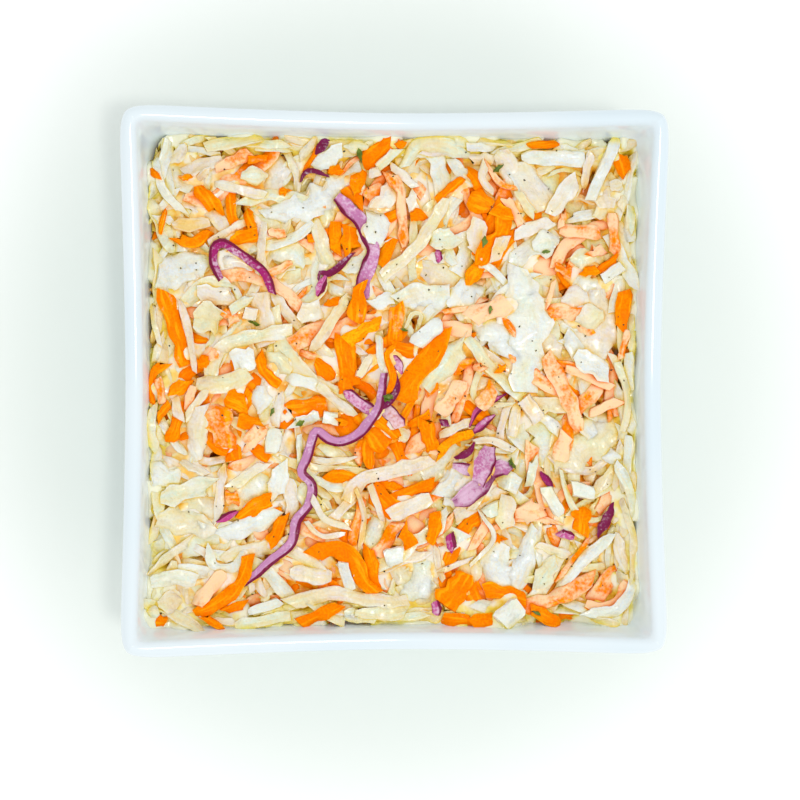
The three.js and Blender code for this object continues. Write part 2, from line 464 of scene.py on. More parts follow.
# How each kind is cut and how it lies. thick, slant and crinkle are in mm. ends is the width at the
# two ends over the full width, and taper the share of the length that it takes. ragged is how much
# the width varies, cup how far the edges stand up on a piece 5 mm wide, and twist how far it turns.
# hard: 0 sinks in between what it lies on, 1 rests on the highest points. conform is how much of
# the slope under it a piece takes on, and stiff the rounds of smoothing along it.
CUT_MEASURES = ("thick", "ends", "taper", "ragged", "cup", "slant", "crinkle", "hard", "conform",
                "stiff", "twist")
CUTS = {
    "shred": (0.8, 0.72, 0.14, 0.14, 0.3, 1, 0.3, 0.39, 0.6, 12, 0.22),
    "flake": (0.72, 0.7, 0.2, 0.18, 0.4, 1.2, 0.7, 0.36, 0.7, 8, 0.12),
    "oval": (0.88, 0.35, 0.45, 0.06, -0.5, 0.2, 0.5, 0.39, 0.5, 12, 0.08),
    "leaf": (0.56, 0.6, 0.28, 0.2, -0.5, 1.4, 1.8, 0.29, 0.75, 10, 0.14),
    "rib": (1.7, 0.8, 0.12, 0.06, 0, 0.5, 0.3, 0.36, 0.6, 18, 0.1),
    "curl": (0.64, 0.45, 0.2, 0.12, 0.2, 0.5, 0.3, 0.45, 0.1, 6, 0.5),
    "carrot": (0.96, 0.78, 0.1, 0.17, 0.15, 1.1, 0.35, 0.36, 0.7, 8, 0.12),
    "chip": (1.1, 0.72, 0.2, 0.2, -0.2, 1, 0.5, 0.36, 0.65, 10, 0.1),
    "red": (1.3, 0.6, 0.12, 0.07, 0.1, 0.4, 0.25, 0.39, 0.4, 8, 0.12),
    "skin": (0.72, 0.3, 0.35, 0.12, 0.25, 0.4, 0.3, 0.42, 0.3, 6, 0.3),
    "ruffle": (0.8, 0.5, 0.3, 0.1, 0.9, 0.1, 1.8, 0.5, 0.4, 10, 0.15),
    "parsley": (0.35, 0.35, 0.4, 0.3, 0.3, 0.3, 0.6, 0.52, 0.8, 2, 0.3),
}
CUTS = {cut: dict(zip(CUT_MEASURES, row)) for cut, row in CUTS.items()}
# Where each look lies on the tint scale of its material, and how thickly dressing covers it
LOOKS = {
    "white": (0.06, 0.8),
    "green": (0.25, 0.4),
    "lemon": (0.42, 0.2),
    "cream": (0.6, 0.4),
    "pink": (0.8, 0.6),
    "ochre": (0.96, 0.1),
    "vivid": (0.5, 0.0),
    "deep": (0.1, 0.0),
    "yellow": (0.9, 0.05),
    "flecked": (0.5, 0.38),
    "coated": (0.5, 0.74),
    "peach": (0.6, 1.0),
    "lilac": (0.46, 0.25),
    "pale": (0.62, 0.5),
    "dusky": (0.96, 0.6),
    "magenta": (0.25, 0.1),
    "dark": (0.04, 0.1),
    "herb": (0.5, 0.0),
}


THICK_SPREAD = (0.85, 1.2)  # shares of the usual
END_SPREAD = (0.55, 1.4)
TONE_SPREAD = 0.09
COAT_SPREAD = 0.1
KNOT_STEP = 2.6  # mm between two random widths of a piece
STEEPEST = 1.5


class Heap:
    """What lies in the bowl so far: a height map, and every piece that was laid on it."""

    def __init__(self):
        self.random = np.random.default_rng(SEED)
        line = np.arange(-MAP_REACH, MAP_REACH + CELL, CELL)
        self.count = len(line)
        x, y = np.meshgrid(line, line)
        distance = squared_distance(x, y)
        share = np.minimum(distance / wall_room(EDGE_LEVEL), 1)
        dome = DOME * (1 - share**2)
        bank = np.clip((distance - wall_room(EDGE_LEVEL) + BANK_WIDTH) / BANK_WIDTH, 0, 1)
        self.target = EDGE_LEVEL + dome + BANK * bank**2
        self.inside = distance < wall_room(EDGE_LEVEL) - 0.5
        self.food_share = (distance < wall_room(EDGE_LEVEL) + 0.4).astype(float)
        wall = np.interp(distance, INNER_WALL[:, 0], INNER_WALL[:, 1])
        self.map = np.maximum(CORE_TOP + dome, wall)
        self.pieces = {}

    def cells(self, x, y):
        column = np.clip(np.rint((x + MAP_REACH) / CELL).astype(int), 0, self.count - 1)
        row = np.clip(np.rint((y + MAP_REACH) / CELL).astype(int), 0, self.count - 1)
        return row, column

    def room_left(self):
        """Mean height in mm that is still missing inside the bowl."""
        lack = self.target - FILL_UNDER - self.map
        return float(np.mean(np.maximum(lack, 0)[self.inside]))

    def smoothed(self, cells):
        """The heap's top smoothed over about this many cells, without the wall around it."""
        weight = np.maximum(blurred(self.food_share, cells), 1e-3)
        return blurred(self.map * self.food_share, cells) / weight

    def kept_inside(self, path, left, right, side, level):
        """Shifts a path so that both its edges stay clear of the wall at this height."""
        room = wall_room(level) - WALL_CLEARANCE
        for _ in range(3):
            edges = np.concatenate([path - side * left[:, None], path + side * right[:, None]])
            for axis in (0, 1):
                path[:, axis] -= max(edges[:, axis].max() - room, 0)
                path[:, axis] += max(-room - edges[:, axis].min(), 0)
            edges = np.concatenate([path - side * left[:, None], path + side * right[:, None]])
            far = edges[np.argmax(squared_distance(*edges.T))]
            path -= np.sign(far) * max(float(squared_distance(*far) - room), 0)
        return path

    def low_spot(self, path, width, tries):
        """Moves a path to the lowest of some random places, and turns it at random."""
        best = None
        for _ in range(tries):
            turn = self.random.uniform(0, 2 * math.pi)
            place = self.random.uniform(-MAP_REACH + 4, MAP_REACH - 4, 2)
            moved = turned(path, turn) + place
            tangent = np.gradient(moved, axis=0)
            side = np.stack([tangent[:, 1], -tangent[:, 0]], axis=1)
            side /= np.linalg.norm(side, axis=1, keepdims=True)
            half = np.full(len(moved), width / 2)
            moved = self.kept_inside(moved, half, half, side, EDGE_LEVEL)
            cells = self.cells(*moved.T)
            cost = float(np.mean(self.map[cells] - self.target[cells]))
            if best is None or cost < best[0]:
                best = (cost, moved)
        return best[1]

    def lay(self, cut, look, path, width, thick=None, lean=0.0, lift=0.0):
        """Lays one cut piece over what is there already, and raises the map by it."""
        r = self.random
        how = CUTS[cut]
        thick = (thick or how["thick"]) * r.uniform(*THICK_SPREAD)
        tint, coat = LOOKS[look]
        steps = np.linalg.norm(np.diff(path, axis=0), axis=1)
        along = np.concatenate([[0], np.cumsum(steps)])
        share = along / along[-1]
        n = len(path)

        knots = max(6, int(along[-1] / KNOT_STEP))

        def wavy(amount):
            return np.interp(share, np.linspace(0, 1, knots), r.normal(0, amount, knots))

        start = np.clip(share / how["taper"], 0, 1)
        finish = np.clip((1 - share) / how["taper"], 0, 1)
        start, finish = (v * v * (3 - 2 * v) for v in (start, finish))
        ends = np.clip(how["ends"] * r.uniform(*END_SPREAD, 2), 0.1, 1)
        outline = (ends[0] + (1 - ends[0]) * start) * (ends[1] + (1 - ends[1]) * finish)
        left, right = (
            width / 2 * outline * np.clip(1 + wavy(how["ragged"]), 0.4, 1.6) for _ in range(2)
        )

        tangent = np.gradient(path, axis=0)
        tangent /= np.linalg.norm(tangent, axis=1, keepdims=True)
        side = np.stack([tangent[:, 1], -tangent[:, 0]], axis=1)
        height = float(np.median(self.map[self.cells(*path.T)]))
        path = self.kept_inside(path.copy(), left, right, side, min(height + 0.5, RIM_HEIGHT))
        spread = np.array([-1, -0.5, 0, 0.5, 1])
        offset = np.where(spread < 0, left[:, None], right[:, None]) * spread
        spots = path[:, None] + side[:, None] * offset[..., None]
        ground = self.map[self.cells(spots[..., 0], spots[..., 1])]
        rise = (ground[:, 3:].mean(1) - ground[:, :2].mean(1)) / (0.75 * (left + right) + 1e-6)
        rise = np.convolve(np.pad(rise, 2, "edge"), np.full(5, 0.2), "valid")
        slope = np.clip(rise * how["conform"] + lean + wavy(how["twist"]), -STEEPEST, STEEPEST)
        over = ground - slope[:, None] * offset
        rest = how["hard"] * over.max(1) + (1 - how["hard"]) * over.mean(1)
        level = rest.copy()
        for _ in range(how["stiff"]):
            padded = np.pad(level, 1, "reflect", reflect_type="odd")
            level = np.maximum(rest, (padded[:-2] + level + padded[2:]) / 3)
        level = level + thick / 2 + lift

        tilt = np.arctan(slope)
        c, s = np.cos(tilt)[:, None], np.sin(tilt)[:, None]
        across = np.concatenate([side * c, s], axis=1)
        forward = np.column_stack([tangent, np.gradient(level, along)])
        forward /= np.linalg.norm(forward, axis=1, keepdims=True)
        up = np.cross(across, forward)
        up *= np.sign(up[:, 2:])
        cut_slant = r.normal(0, how["slant"], 2)
        end_weight = cut_slant[0] * (1 - start) + cut_slant[1] * (1 - finish)
        spine = np.column_stack([path, level])
        cup = how["cup"] * r.normal(1, 0.6) * width / 5

        fine = np.linspace(0, n - 1, max(int(along[-1] / CELL * 1.3), n))
        every = np.arange(n)
        v = np.linspace(-1, 1, max(int(width / CELL * 1.3), 5))
        reach = np.where(v < 0, np.interp(fine, every, left)[:, None],
                         np.interp(fine, every, right)[:, None]) * v
        cover_x, cover_y, cover_z = (
            np.interp(fine, every, spine[:, i])[:, None]
            + np.interp(fine, every, across[:, i])[:, None] * reach
            for i in range(3)
        )
        cover_z = cover_z + thick / 2 * (1 - 0.6 * v**4) + cup * v**2
        np.maximum.at(self.map, self.cells(cover_x, cover_y), cover_z)

        self.pieces.setdefault(cut, []).append({
            "spine": spine,
            "across": across,
            "up": up,
            "left": left,
            "right": right,
            "thick": np.full(n, thick / 2) * (0.7 + 0.3 * outline),
            "cup": np.full(n, cup),
            "slant": forward * end_weight[:, None],
            "crinkle": np.full(n, how["crinkle"]),
            "along": along,
            "piece": np.full(n, r.uniform()),
            "tone": np.full(n, np.clip(tint + r.normal(0, TONE_SPREAD), 0, 1)),
            "coat": np.full(n, np.clip(coat + r.normal(0, COAT_SPREAD), 0, 1)),
        })


# ---- Loose pieces that fill the bowl ----

# cut: share of all pieces, length, width in mm, bow
FILL = {
    "shred": (0.46, (16, 36), (2.2, 4.6), 0.16),
    "flake": (0.15, (11, 20), (4.0, 7.0), 0.08),
    "leaf": (0.21, (16, 28), (7.0, 12.0), 0.08),
    "rib": (0.04, (6, 12), (3.0, 4.8), 0.08),
    "curl": (0.14, (12, 26), (1.6, 2.8), 0.25),
}
CARROT_FILL = {
    "carrot": (0.75, (10, 24), (2.4, 5.4), 0.10),
    "chip": (0.25, (5, 10), (3.6, 6.6), 0.05),
}
FILL_TINTS = (("cream", 0.2), ("lemon", 0.14), ("white", 0.36), ("green", 0.12), ("pink", 0.16),
              ("ochre", 0.02))
EDGE_TINTS = (("lemon", 0.35), ("green", 0.25), ("cream", 0.2), ("white", 0.2))

# Where carrot gathers: pixel of the view, radius in pixels, share of carrot, share of it coated
CARROT_ZONES = [
    (205, 190, 26, 0.2, 0.5), (190, 235, 22, 0.3, 0.1), (247, 222, 22, 0.4, 0.3),
    (172, 325, 24, 0.6, 0.1), (160, 395, 22, 0.6, 0.4), (178, 415, 22, 0.6, 0.2),
    (228, 415, 34, 0.9, 0.1), (262, 400, 20, 0.5, 0.2), (312, 155, 18, 0.6, 0.3),
    (358, 188, 24, 0.8, 0.2), (384, 152, 22, 0.7, 0.3), (346, 240, 24, 0.8, 0.1),
    (402, 215, 26, 0.6, 0.9), (448, 190, 16, 0.5, 0.3), (492, 210, 38, 0.9, 0.1),
    (617, 165, 18, 0.8, 0.0), (600, 235, 28, 0.7, 0.9), (568, 268, 18, 0.7, 0.2),
    (622, 310, 22, 0.7, 0.2), (352, 345, 40, 0.9, 0.15), (430, 365, 36, 0.9, 0.05),
    (460, 320, 24, 0.7, 0.9), (378, 432, 40, 0.9, 0.1), (300, 405, 28, 0.7, 0.8),
    (560, 385, 40, 0.6, 0.9), (600, 380, 26, 0.6, 0.9), (505, 405, 22, 0.4, 0.7),
    (270, 480, 26, 0.5, 0.4), (245, 515, 26, 0.6, 0.4), (275, 535, 22, 0.6, 0.1),
    (215, 595, 30, 0.5, 0.3), (385, 500, 36, 0.7, 0.4), (345, 570, 34, 0.8, 0.2),
    (385, 560, 26, 0.6, 0.6), (320, 615, 22, 0.6, 0.2), (410, 530, 22, 0.6, 0.5),
    (465, 590, 32, 0.7, 0.1), (505, 605, 24, 0.8, 0.1), (545, 610, 26, 0.7, 0.3),
    (600, 590, 28, 0.7, 0.6), (584, 520, 16, 0.6, 0.2), (530, 515, 24, 0.5, 0.9),
    (432, 430, 22, 0.6, 0.2), (160, 615, 14, 0.6, 0.2),
]
CARROT_ELSEWHERE = (0.1, 0.9)
MORE_COATED = 0.25
FILL_WIDEST = {"shred": 5.0, "flake": 7.8, "leaf": 12.0, "rib": 5.0, "curl": 3.4, "carrot": 5.4,
               "chip": 6.6}
MM_PER_PIXEL = 0.295  # in the view, at the top of the food
MOST_PIECES = 5000
FULL_WITHIN = 0.45  # mean height that may still be missing
PLACES_TRIED = 10
WIGGLE = 0.02  # of a path, as a share of its length
FILL_LEAN = 0.16
EDGE_BAND = 6.0  # how near the wall the tints of the edge are used
HOLLOW_DEPTH = 1.8  # mm under the top around it
HOLLOW_ROUNDS = 60
HOLLOWS_A_ROUND = 8
HOLLOW_CELLS = 12  # how far apart two hollows of a round are
HOLLOW_LENGTHS = (11, 26)
HOLLOW_WIDTHS = (2.6, 5.2)
HOLLOW_BOW = 0.12
WALL_ROWS = 2
ROW_DEPTH = 1.8
STRIP_LENGTHS = (8, 20)
STRIP_WIDTHS = (2.2, 4.0)
STRIP_LEANS = (0.1, 0.7)
STRIP_TURN = 0.3
STRIP_STEPS = (0.6, 1.1)  # from one strip to the next, as a share of its length


def one_of(random, choices):
    names, shares = zip(*choices)
    return names[random.choice(len(names), p=np.array(shares) / sum(shares))]


def carrot_share(zones, place):
    """How much carrot lies about a place in mm, and how much of that is coated."""
    inside = np.linalg.norm(zones[:, :2] - place, axis=1) < zones[:, 2]
    if not inside.any():
        return CARROT_ELSEWHERE
    return zones[inside, 3].max(), zones[inside, 4].min()


def fill_bowl(heap):
    """Drops random pieces on the low spots until the heap is as high as it should be."""
    r = heap.random
    zones = np.array(CARROT_ZONES, float)
    zones[:, :2] = seen_at(zones[:, :2], EDGE_LEVEL)
    zones[:, 2] *= MM_PER_PIXEL
    for _ in range(MOST_PIECES):
        if heap.room_left() < FULL_WITHIN:
            break
        kind = one_of(r, [(name, row[0]) for name, row in FILL.items()])
        _, lengths, widths, bow = FILL[kind]
        path = bowed_path(r, r.uniform(*lengths), r.normal(0, bow), WIGGLE)
        width = r.uniform(*widths)
        path = heap.low_spot(path, width, PLACES_TRIED)
        kind, look = what_lies(r, zones, path[len(path) // 2], kind)
        width = min(width, FILL_WIDEST[kind])
        heap.lay(kind, look, path, width, lean=r.normal(0, FILL_LEAN))
    fill_hollows(heap, zones)


def what_lies(random, zones, place, kind):
    """The cut and look of a filling piece at a place in mm, this kind if it isn't carrot."""
    carrot, coated = carrot_share(zones, place)
    if random.uniform() < carrot:
        kind = one_of(random, [(name, row[0]) for name, row in CARROT_FILL.items()])
        if random.uniform() < MORE_COATED + (1 - MORE_COATED) * coated:
            return kind, one_of(random, [("coated", 3), ("peach", 2)])
        return kind, one_of(random, [("vivid", 3), ("deep", 1), ("yellow", 1), ("flecked", 2)])
    if squared_distance(*place) > wall_room(EDGE_LEVEL) - EDGE_BAND:
        return kind, one_of(random, EDGE_TINTS)
    return kind, one_of(random, FILL_TINTS)


def fill_hollows(heap, zones):
    """Lays pieces straight into the hollows that are left, deepest first."""
    r = heap.random
    for _ in range(HOLLOW_ROUNDS):
        lack = np.where(heap.inside, heap.smoothed(8) - blurred(heap.map, 2), 0)
        for _ in range(HOLLOWS_A_ROUND):
            row, column = np.unravel_index(np.argmax(lack), lack.shape)
            if lack[row, column] < HOLLOW_DEPTH:
                return
            place = np.array([column, row]) * CELL - MAP_REACH
            path = bowed_path(r, r.uniform(*HOLLOW_LENGTHS), r.normal(0, HOLLOW_BOW), WIGGLE)
            path = turned(path, r.uniform(0, 2 * math.pi)) + place
            kind, look = what_lies(r, zones, place, one_of(r, (("flake", 2), ("shred", 2))))
            heap.lay(kind, look, path, r.uniform(*HOLLOW_WIDTHS))
            near = [slice(max(i - HOLLOW_CELLS, 0), i + HOLLOW_CELLS + 1) for i in (row, column)]
            lack[tuple(near)] = 0


def line_walls(heap):
    """Stands strips against the four walls, as they are pushed there when the bowl is filled."""
    r = heap.random
    room = wall_room(EDGE_LEVEL) - 1.3
    for level in range(WALL_ROWS):
        for side in range(4):
            place = -room + r.uniform(0, 8)
            while place < room - 6:
                length = r.uniform(*STRIP_LENGTHS)
                path = bowed_path(r, length, r.normal(0, 0.03), 0.015)
                path = turned(path, r.normal(0, STRIP_TURN))
                path[:, 0] += place + length / 2
                path[:, 1] += room - r.uniform(0, 1.2) - (WALL_ROWS - 1 - level) * ROW_DEPTH
                c, s = ((1, 0), (0, 1), (-1, 0), (0, -1))[side]
                path = path @ np.array([[c, s], [-s, c]])
                heap.lay("shred", one_of(r, EDGE_TINTS), path, r.uniform(*STRIP_WIDTHS),
                         lean=-r.uniform(*STRIP_LEANS))
                place += length * r.uniform(*STRIP_STEPS)


# ---- Pieces on top, in the order in which they are laid ----

# Each line: cut, look, width in mm, then the pixels of the view that the piece's middle runs through
TOP_PIECES = """
# top left
shred lemon 3.5 205,148 262,138
curl cream 3.5 172,163 186,145
shred white 2.9 154,218 172,220
flake pink 4.1 182,172 222,158
carrot coated 3.5 215,168 250,152
flake pink 2.4 196,178 209,170
chip vivid 1.8 181,178 191,176
chip coated 2.6 248,160 267,158
carrot vivid 4 198,186 216,210
shred white 2.6 155,160 163,190 184,212
chip vivid 2 151,169 158,179
shred cream 3.3 215,184 266,195
oval lemon 5.9 241,175 268,175
chip vivid 2.2 279,190 288,192
flake ochre 3.6 172,226 210,222
carrot vivid 3.4 176,238 193,243 210,230
carrot vivid 1.5 165,210 160,234
shred pink 2.8 208,243 246,221
carrot vivid 3.2 247,210 254,232
carrot vivid 4.3 228,243 258,234
leaf white 9.5 158,277 210,260
carrot coated 2.4 268,274 292,262
carrot coated 2.8 268,233 285,233
shred cream 2.4 264,222 262,246 258,272
red dark 2.7 221,280 214,264 214,248 223,243 238,252 253,263 265,274 273,293
leaf white 8.6 262,214 300,208 336,190 362,170
# top middle
shred cream 2.7 300,158 318,136
carrot deep 1.9 305,169 320,146
flake white 6 314,166 330,156 342,149
chip vivid 2.8 328,171 342,169
skin dark 2.8 316,154 329,138
skin dark 1.6 301,181 304,173 313,170 329,176
oval green 4.2 344,146 368,147
chip vivid 2.8 396,143 405,145
carrot vivid 5 364,162 391,140
leaf lemon 5 405,166 416,148 436,143 470,156
shred lemon 2.8 377,168 397,149
shred pink 2.8 391,165 416,187
carrot vivid 4.3 345,187 363,204
chip flecked 6.5 350,181 364,183
chip coated 5.6 368,200 382,186
flake pink 6.8 395,184 379,208
rib cream 3 370,173 380,171
carrot coated 3.4 388,173 399,190 402,215 404,247
carrot vivid 3.6 393,238 381,266
flake pink 3.6 410,193 415,214
chip vivid 3.6 411,216 425,214
carrot vivid 3.2 336,222 336,253
chip vivid 5.4 350,226 351,252
carrot vivid 2.6 462,178 438,200
red pale 4.4 366,300 363,284 369,266 373,250 368,236 360,220 350,210 337,196
leaf lemon 5.2 318,218 322,248 335,270
leaf white 8.2 366,216 386,236
red magenta 2 438,250 440,262
flake green 6 432,240 456,236
shred cream 4 447,198 430,228 414,250 382,277
skin dark 2.2 353,253 339,267 328,274 320,272 318,280
skin lilac 2.8 326,276 317,296
# top right
shred lemon 2.2 470,139 511,145
shred ochre 3.2 470,158 495,159
flake pink 3 502,150 521,168
shred white 3 560,147 571,150
carrot vivid 4.1 468,170 482,187
leaf pink 9 497,152 524,178 550,208
rib white 4.8 522,156 585,160
carrot vivid 2.2 528,146 558,144
shred lemon 1.4 549,175 564,169 582,174
flake pink 5 577,178 550,214
shred cream 2.6 590,152 584,188
carrot vivid 4.8 619,154 625,175
rib lemon 4.1 611,186 622,186
flake cream 5 600,190 608,207
oval lemon 3.6 622,196 623,212
shred lemon 3 629,206 630,232
rib white 3.6 616,139 604,167 590,200
chip vivid 6.2 470,198 491,208
carrot coated 1.9 486,164 502,184 517,188
shred cream 2.4 485,163 482,179 493,193
carrot peach 2.8 503,199 513,210 523,229
shred lemon 2.8 517,192 534,215
flake pink 5.4 480,219 475,254
carrot vivid 4.9 504,213 500,232 489,245 478,264
chip vivid 4.4 494,208 512,216
flake ochre 4.2 503,236 494,261
carrot peach 4.2 561,229 601,234
carrot coated 3.3 613,213 615,254
chip coated 2.5 565,211 562,227
flake pink 4.2 514,235 552,221
oval white 8.8 533,246 560,240
oval green 6.4 568,260 597,256
chip coated 3.6 590,252 604,250
carrot vivid 2.5 617,257 599,272
rib white 3.6 622,266 603,279
chip coated 3.2 556,266 572,275
chip vivid 3 582,272 599,270
# left
carrot vivid 5.6 163,290 171,314 178,338 185,366
shred pink 2.4 180,300 189,337 194,372
shred lemon 1.8 152,300 155,325 160,345
flake pink 5 197,290 236,300
flake lemon 7.4 194,318 224,318
chip coated 3.8 225,318 237,316
shred green 3 250,297 230,311
rib cream 3.8 244,312 257,315
shred green 4.4 292,329 258,336 226,344 214,358 210,378
flake white 7.6 233,362 254,356
chip coated 4.4 205,358 215,350
chip vivid 3.6 198,363 208,360
carrot vivid 3.3 258,355 265,372 279,385
leaf lemon 5.6 268,352 291,372
shred lemon 5.4 196,384 222,384 250,374
chip vivid 6.4 226,396 247,408
chip flecked 7.5 212,406 226,448
carrot vivid 4.2 238,421 262,424
oval white 7.6 262,386 258,414
shred pink 3 281,393 275,426
rib white 4.7 275,430 271,453
carrot coated 4.8 263,427 245,447
carrot vivid 2.5 165,364 153,372 150,388 152,404
carrot peach 2.6 158,378 162,403
carrot vivid 4.2 187,381 172,395
carrot vivid 2.7 170,404 157,418
carrot vivid 3.4 182,402 176,424 170,442
carrot peach 2.9 193,386 185,412
shred lemon 2.6 207,390 197,402 186,418
flake pink 3.6 174,398 178,419
leaf cream 6.4 205,405 197,435 200,460
shred green 3 149,405 147,429 152,451
# middle
shred lemon 3.6 347,297 330,322 312,350
carrot vivid 5 359,284 355,322
flake pink 6.4 298,312 322,312
flake white 4.2 370,305 393,297
leaf white 7.8 398,302 426,296 450,294
carrot flecked 4.5 398,304 394,344
carrot coated 2 443,312 471,308
carrot peach 4.2 443,326 471,331
chip vivid 2.8 326,303 339,300
shred cream 2.2 342,340 365,355
carrot vivid 5.8 343,337 346,360 351,386
chip vivid 5 316,361 334,378
chip vivid 4.2 346,378 345,392
carrot yellow 4.8 346,341 380,322
rib cream 2.8 370,357 358,377
curl lemon 1.6 405,328 412,314 421,316 418,328
shred white 2.6 379,336 380,355 387,373
carrot vivid 5.6 394,346 413,350 432,342
carrot vivid 6.6 443,330 428,360 411,381 399,401
rib white 5 414,345 440,322
leaf lemon 7.6 464,338 444,364 424,388
skin lilac 2.7 389,354 397,362 402,374
rib cream 4.4 398,434 408,436
carrot vivid 7 362,413 386,448
carrot vivid 3.6 372,415 398,437
carrot vivid 2.5 412,402 398,426
chip vivid 2.8 410,426 430,415
carrot vivid 5 424,420 433,450
carrot coated 4.8 463,382 452,396 440,413
shred cream 2.6 440,437 455,428 472,421
skin dark 2.4 440,420 449,425
carrot flecked 6 288,409 326,404
shred cream 3 318,384 336,400 356,415
rib white 3.8 323,417 338,420
shred white 3.4 293,423 319,415
chip vivid 2.3 338,421 347,424
red lilac 3.4 345,391 358,401 376,414
red dusky 4.4 384,408 402,426
skin dark 1.9 396,372 397,388 389,402 378,411
red lilac 3 384,373 382,390 379,405 370,420 361,432 345,441 330,440 317,431 312,440 307,458 302,472 \
    312,485 309,505 297,520 291,543 273,559 256,574 243,584
carrot vivid 2 395,347 386,355 393,377 388,394
parsley herb 2.2 384,400 392,395
# right
leaf white 10.8 517,266 526,300 530,345 525,392
carrot coated 6.2 470,318 508,301
oval pink 9.5 561,301 589,299
carrot coated 4 548,312 588,314
oval lemon 9 576,320 604,316
carrot vivid 4.4 626,290 620,329
carrot coated 2 627,330 621,359
carrot peach 1.5 556,280 546,306
carrot coated 4.8 547,354 556,375 568,398 580,431
carrot peach 4.4 567,434 560,461
carrot peach 3 566,368 590,377 613,388
flake white 6.2 576,354 609,376
shred lemon 2.4 618,362 628,398 622,431
carrot peach 3 590,415 620,400
skin lilac 2 507,394 480,409 470,426
skin lilac 2.6 496,415 473,433
chip coated 5 494,387 481,409
chip vivid 2.6 497,369 506,368
chip coated 2.4 475,368 483,366
shred white 1.7 472,446 490,450 513,452
rib pink 4.7 524,398 538,419
oval white 5.4 603,458 621,458
# bottom left
leaf white 8 150,468 178,484
flake green 6 160,498 213,484
leaf cream 7.4 157,521 216,528
shred cream 2.7 180,462 207,475
shred pink 3 222,466 218,521
shred cream 3.6 230,487 267,463
flake white 5.3 281,463 275,499
carrot vivid 4.6 240,519 271,497
chip coated 3.6 226,497 238,498
carrot vivid 4 285,516 270,546
leaf white 5.6 219,536 250,526 279,511
skin lilac 2.2 217,522 237,511
curl white 3 206,547 214,566 235,567 243,552
carrot vivid 3.8 248,555 243,578 233,592 215,606 194,612
carrot peach 4.6 223,571 197,606
shred white 4.6 151,583 173,577 196,580
oval lemon 7.8 158,603 181,601
chip vivid 4 154,619 166,620
rib cream 3.4 149,610 160,609
shred cream 2.4 213,621 236,622
shred lemon 3.5 235,624 290,616
carrot vivid 2.6 225,610 245,605
rib white 3.2 250,612 281,602
carrot vivid 2.4 204,618 223,629
# bottom middle
carrot vivid 3.6 434,484 387,502
chip deep 7 372,490 398,516
shred cream 4.2 433,460 395,471 362,480 346,501
leaf white 7 466,478 440,496
flake cream 5 389,515 431,498
shred pink 2.2 370,485 383,521
carrot coated 3 363,499 352,546
shred ochre 1.8 356,489 364,515 360,549
carrot coated 4.2 399,523 376,556
shred cream 2.2 312,497 326,519 350,528
shred pink 1.8 306,522 322,536 345,534
carrot vivid 4.6 402,529 412,546
rib white 5.2 385,558 403,554
carrot vivid 3.8 438,512 431,544
red magenta 2.9 450,534 453,551
carrot vivid 4 368,547 377,591
carrot vivid 5 311,556 335,549 353,561 366,583 377,593
flake white 3.4 342,562 352,591
carrot vivid 3.8 299,625 340,608
shred cream 4.6 290,572 331,578
flake lemon 4.7 355,613 406,612
shred lemon 4.4 288,604 335,594 370,601 408,602
leaf white 9.4 431,562 408,601
carrot vivid 7 468,575 445,606
shred pink 2.3 437,547 439,565 444,581
shred pink 1.8 440,572 471,559
red lilac 2.8 436,601 437,615
carrot flecked 4 443,618 471,620
# bottom right
carrot yellow 3 438,456 452,441 474,433
skin dark 2.4 456,458 468,452 474,442
shred pink 2.4 474,442 494,441 515,451
ruffle pale 3.2 454,466 466,469 479,473
ruffle pale 4.8 513,466 499,469 484,474
ruffle pale 6.2 489,473 481,482 470,491 453,501
ruffle pale 6 488,447 486,458 481,472 476,480
shred green 3 534,459 530,486
skin dark 2.4 541,472 552,487
rib white 4.4 572,487 595,495
flake lemon 5.3 507,496 506,528
chip peach 6.4 522,506 538,519
rib white 4.1 545,487 560,515
chip vivid 5.8 583,508 582,534
skin dark 3 613,504 608,520 599,537
red lilac 2.6 560,533 574,537
chip vivid 3 494,537 503,540
shred pink 1.4 480,511 494,539 470,566
leaf white 6 535,527 526,560 516,591
shred cream 3 537,545 570,556
flake lemon 5.3 556,559 538,589
shred white 3.6 613,534 586,560 559,589
carrot coated 1.6 592,538 557,581
carrot coated 5 519,608 560,597 596,577
carrot coated 3.6 586,604 602,608 619,600 624,580
shred white 3.4 582,612 610,612 624,600 632,580
carrot vivid 5.4 484,590 526,600
carrot vivid 4.6 470,622 500,618
rib white 7 499,629 519,611
carrot vivid 4 530,612 559,629
shred lemon 2.6 592,618 618,624
shred green 3 616,462 630,490 634,520
shred lemon 2.6 622,500 633,540 630,580
"""
PARSLEY_PIXELS = [(360, 155), (484, 242), (546, 252), (254, 323), (490, 310), (513, 465),
                  (536, 612), (388, 397), (272, 412), (404, 330), (300, 423), (498, 168),
                  (511, 462)]
TOP_THICKER = 1.2  # than the same cut in the fill
TOP_LEAN = 0.12
PARSLEY_LENGTH = 3.0
TOP_LEVEL = 47.5  # height in mm at which the pixels are read


def lay_top(heap):
    """Lays the conspicuous pieces where they are seen, and parsley over them."""
    for line in TOP_PIECES.strip().splitlines():
        if line.startswith("#"):
            continue
        cut, look, width, *pixels = line.split()
        pixels = [[float(number) for number in pixel.split(",")] for pixel in pixels]
        path = path_through(seen_at(pixels, TOP_LEVEL))
        thick = CUTS[cut]["thick"] * TOP_THICKER
        heap.lay(cut, look, path, float(width), thick, lean=heap.random.normal(0, TOP_LEAN))
    for x, y in PARSLEY_PIXELS:
        turn = heap.random.uniform(0, 2 * math.pi)
        reach = PARSLEY_LENGTH / 2 * heap.random.uniform(0.6, 1.2)
        middle = seen_at([(x, y)], TOP_LEVEL)[0]
        step = reach * np.array([math.cos(turn), math.sin(turn)])
        heap.lay("parsley", "herb", path_through([middle - step, middle + step]), reach)


# ---- Bodies of the pieces ----

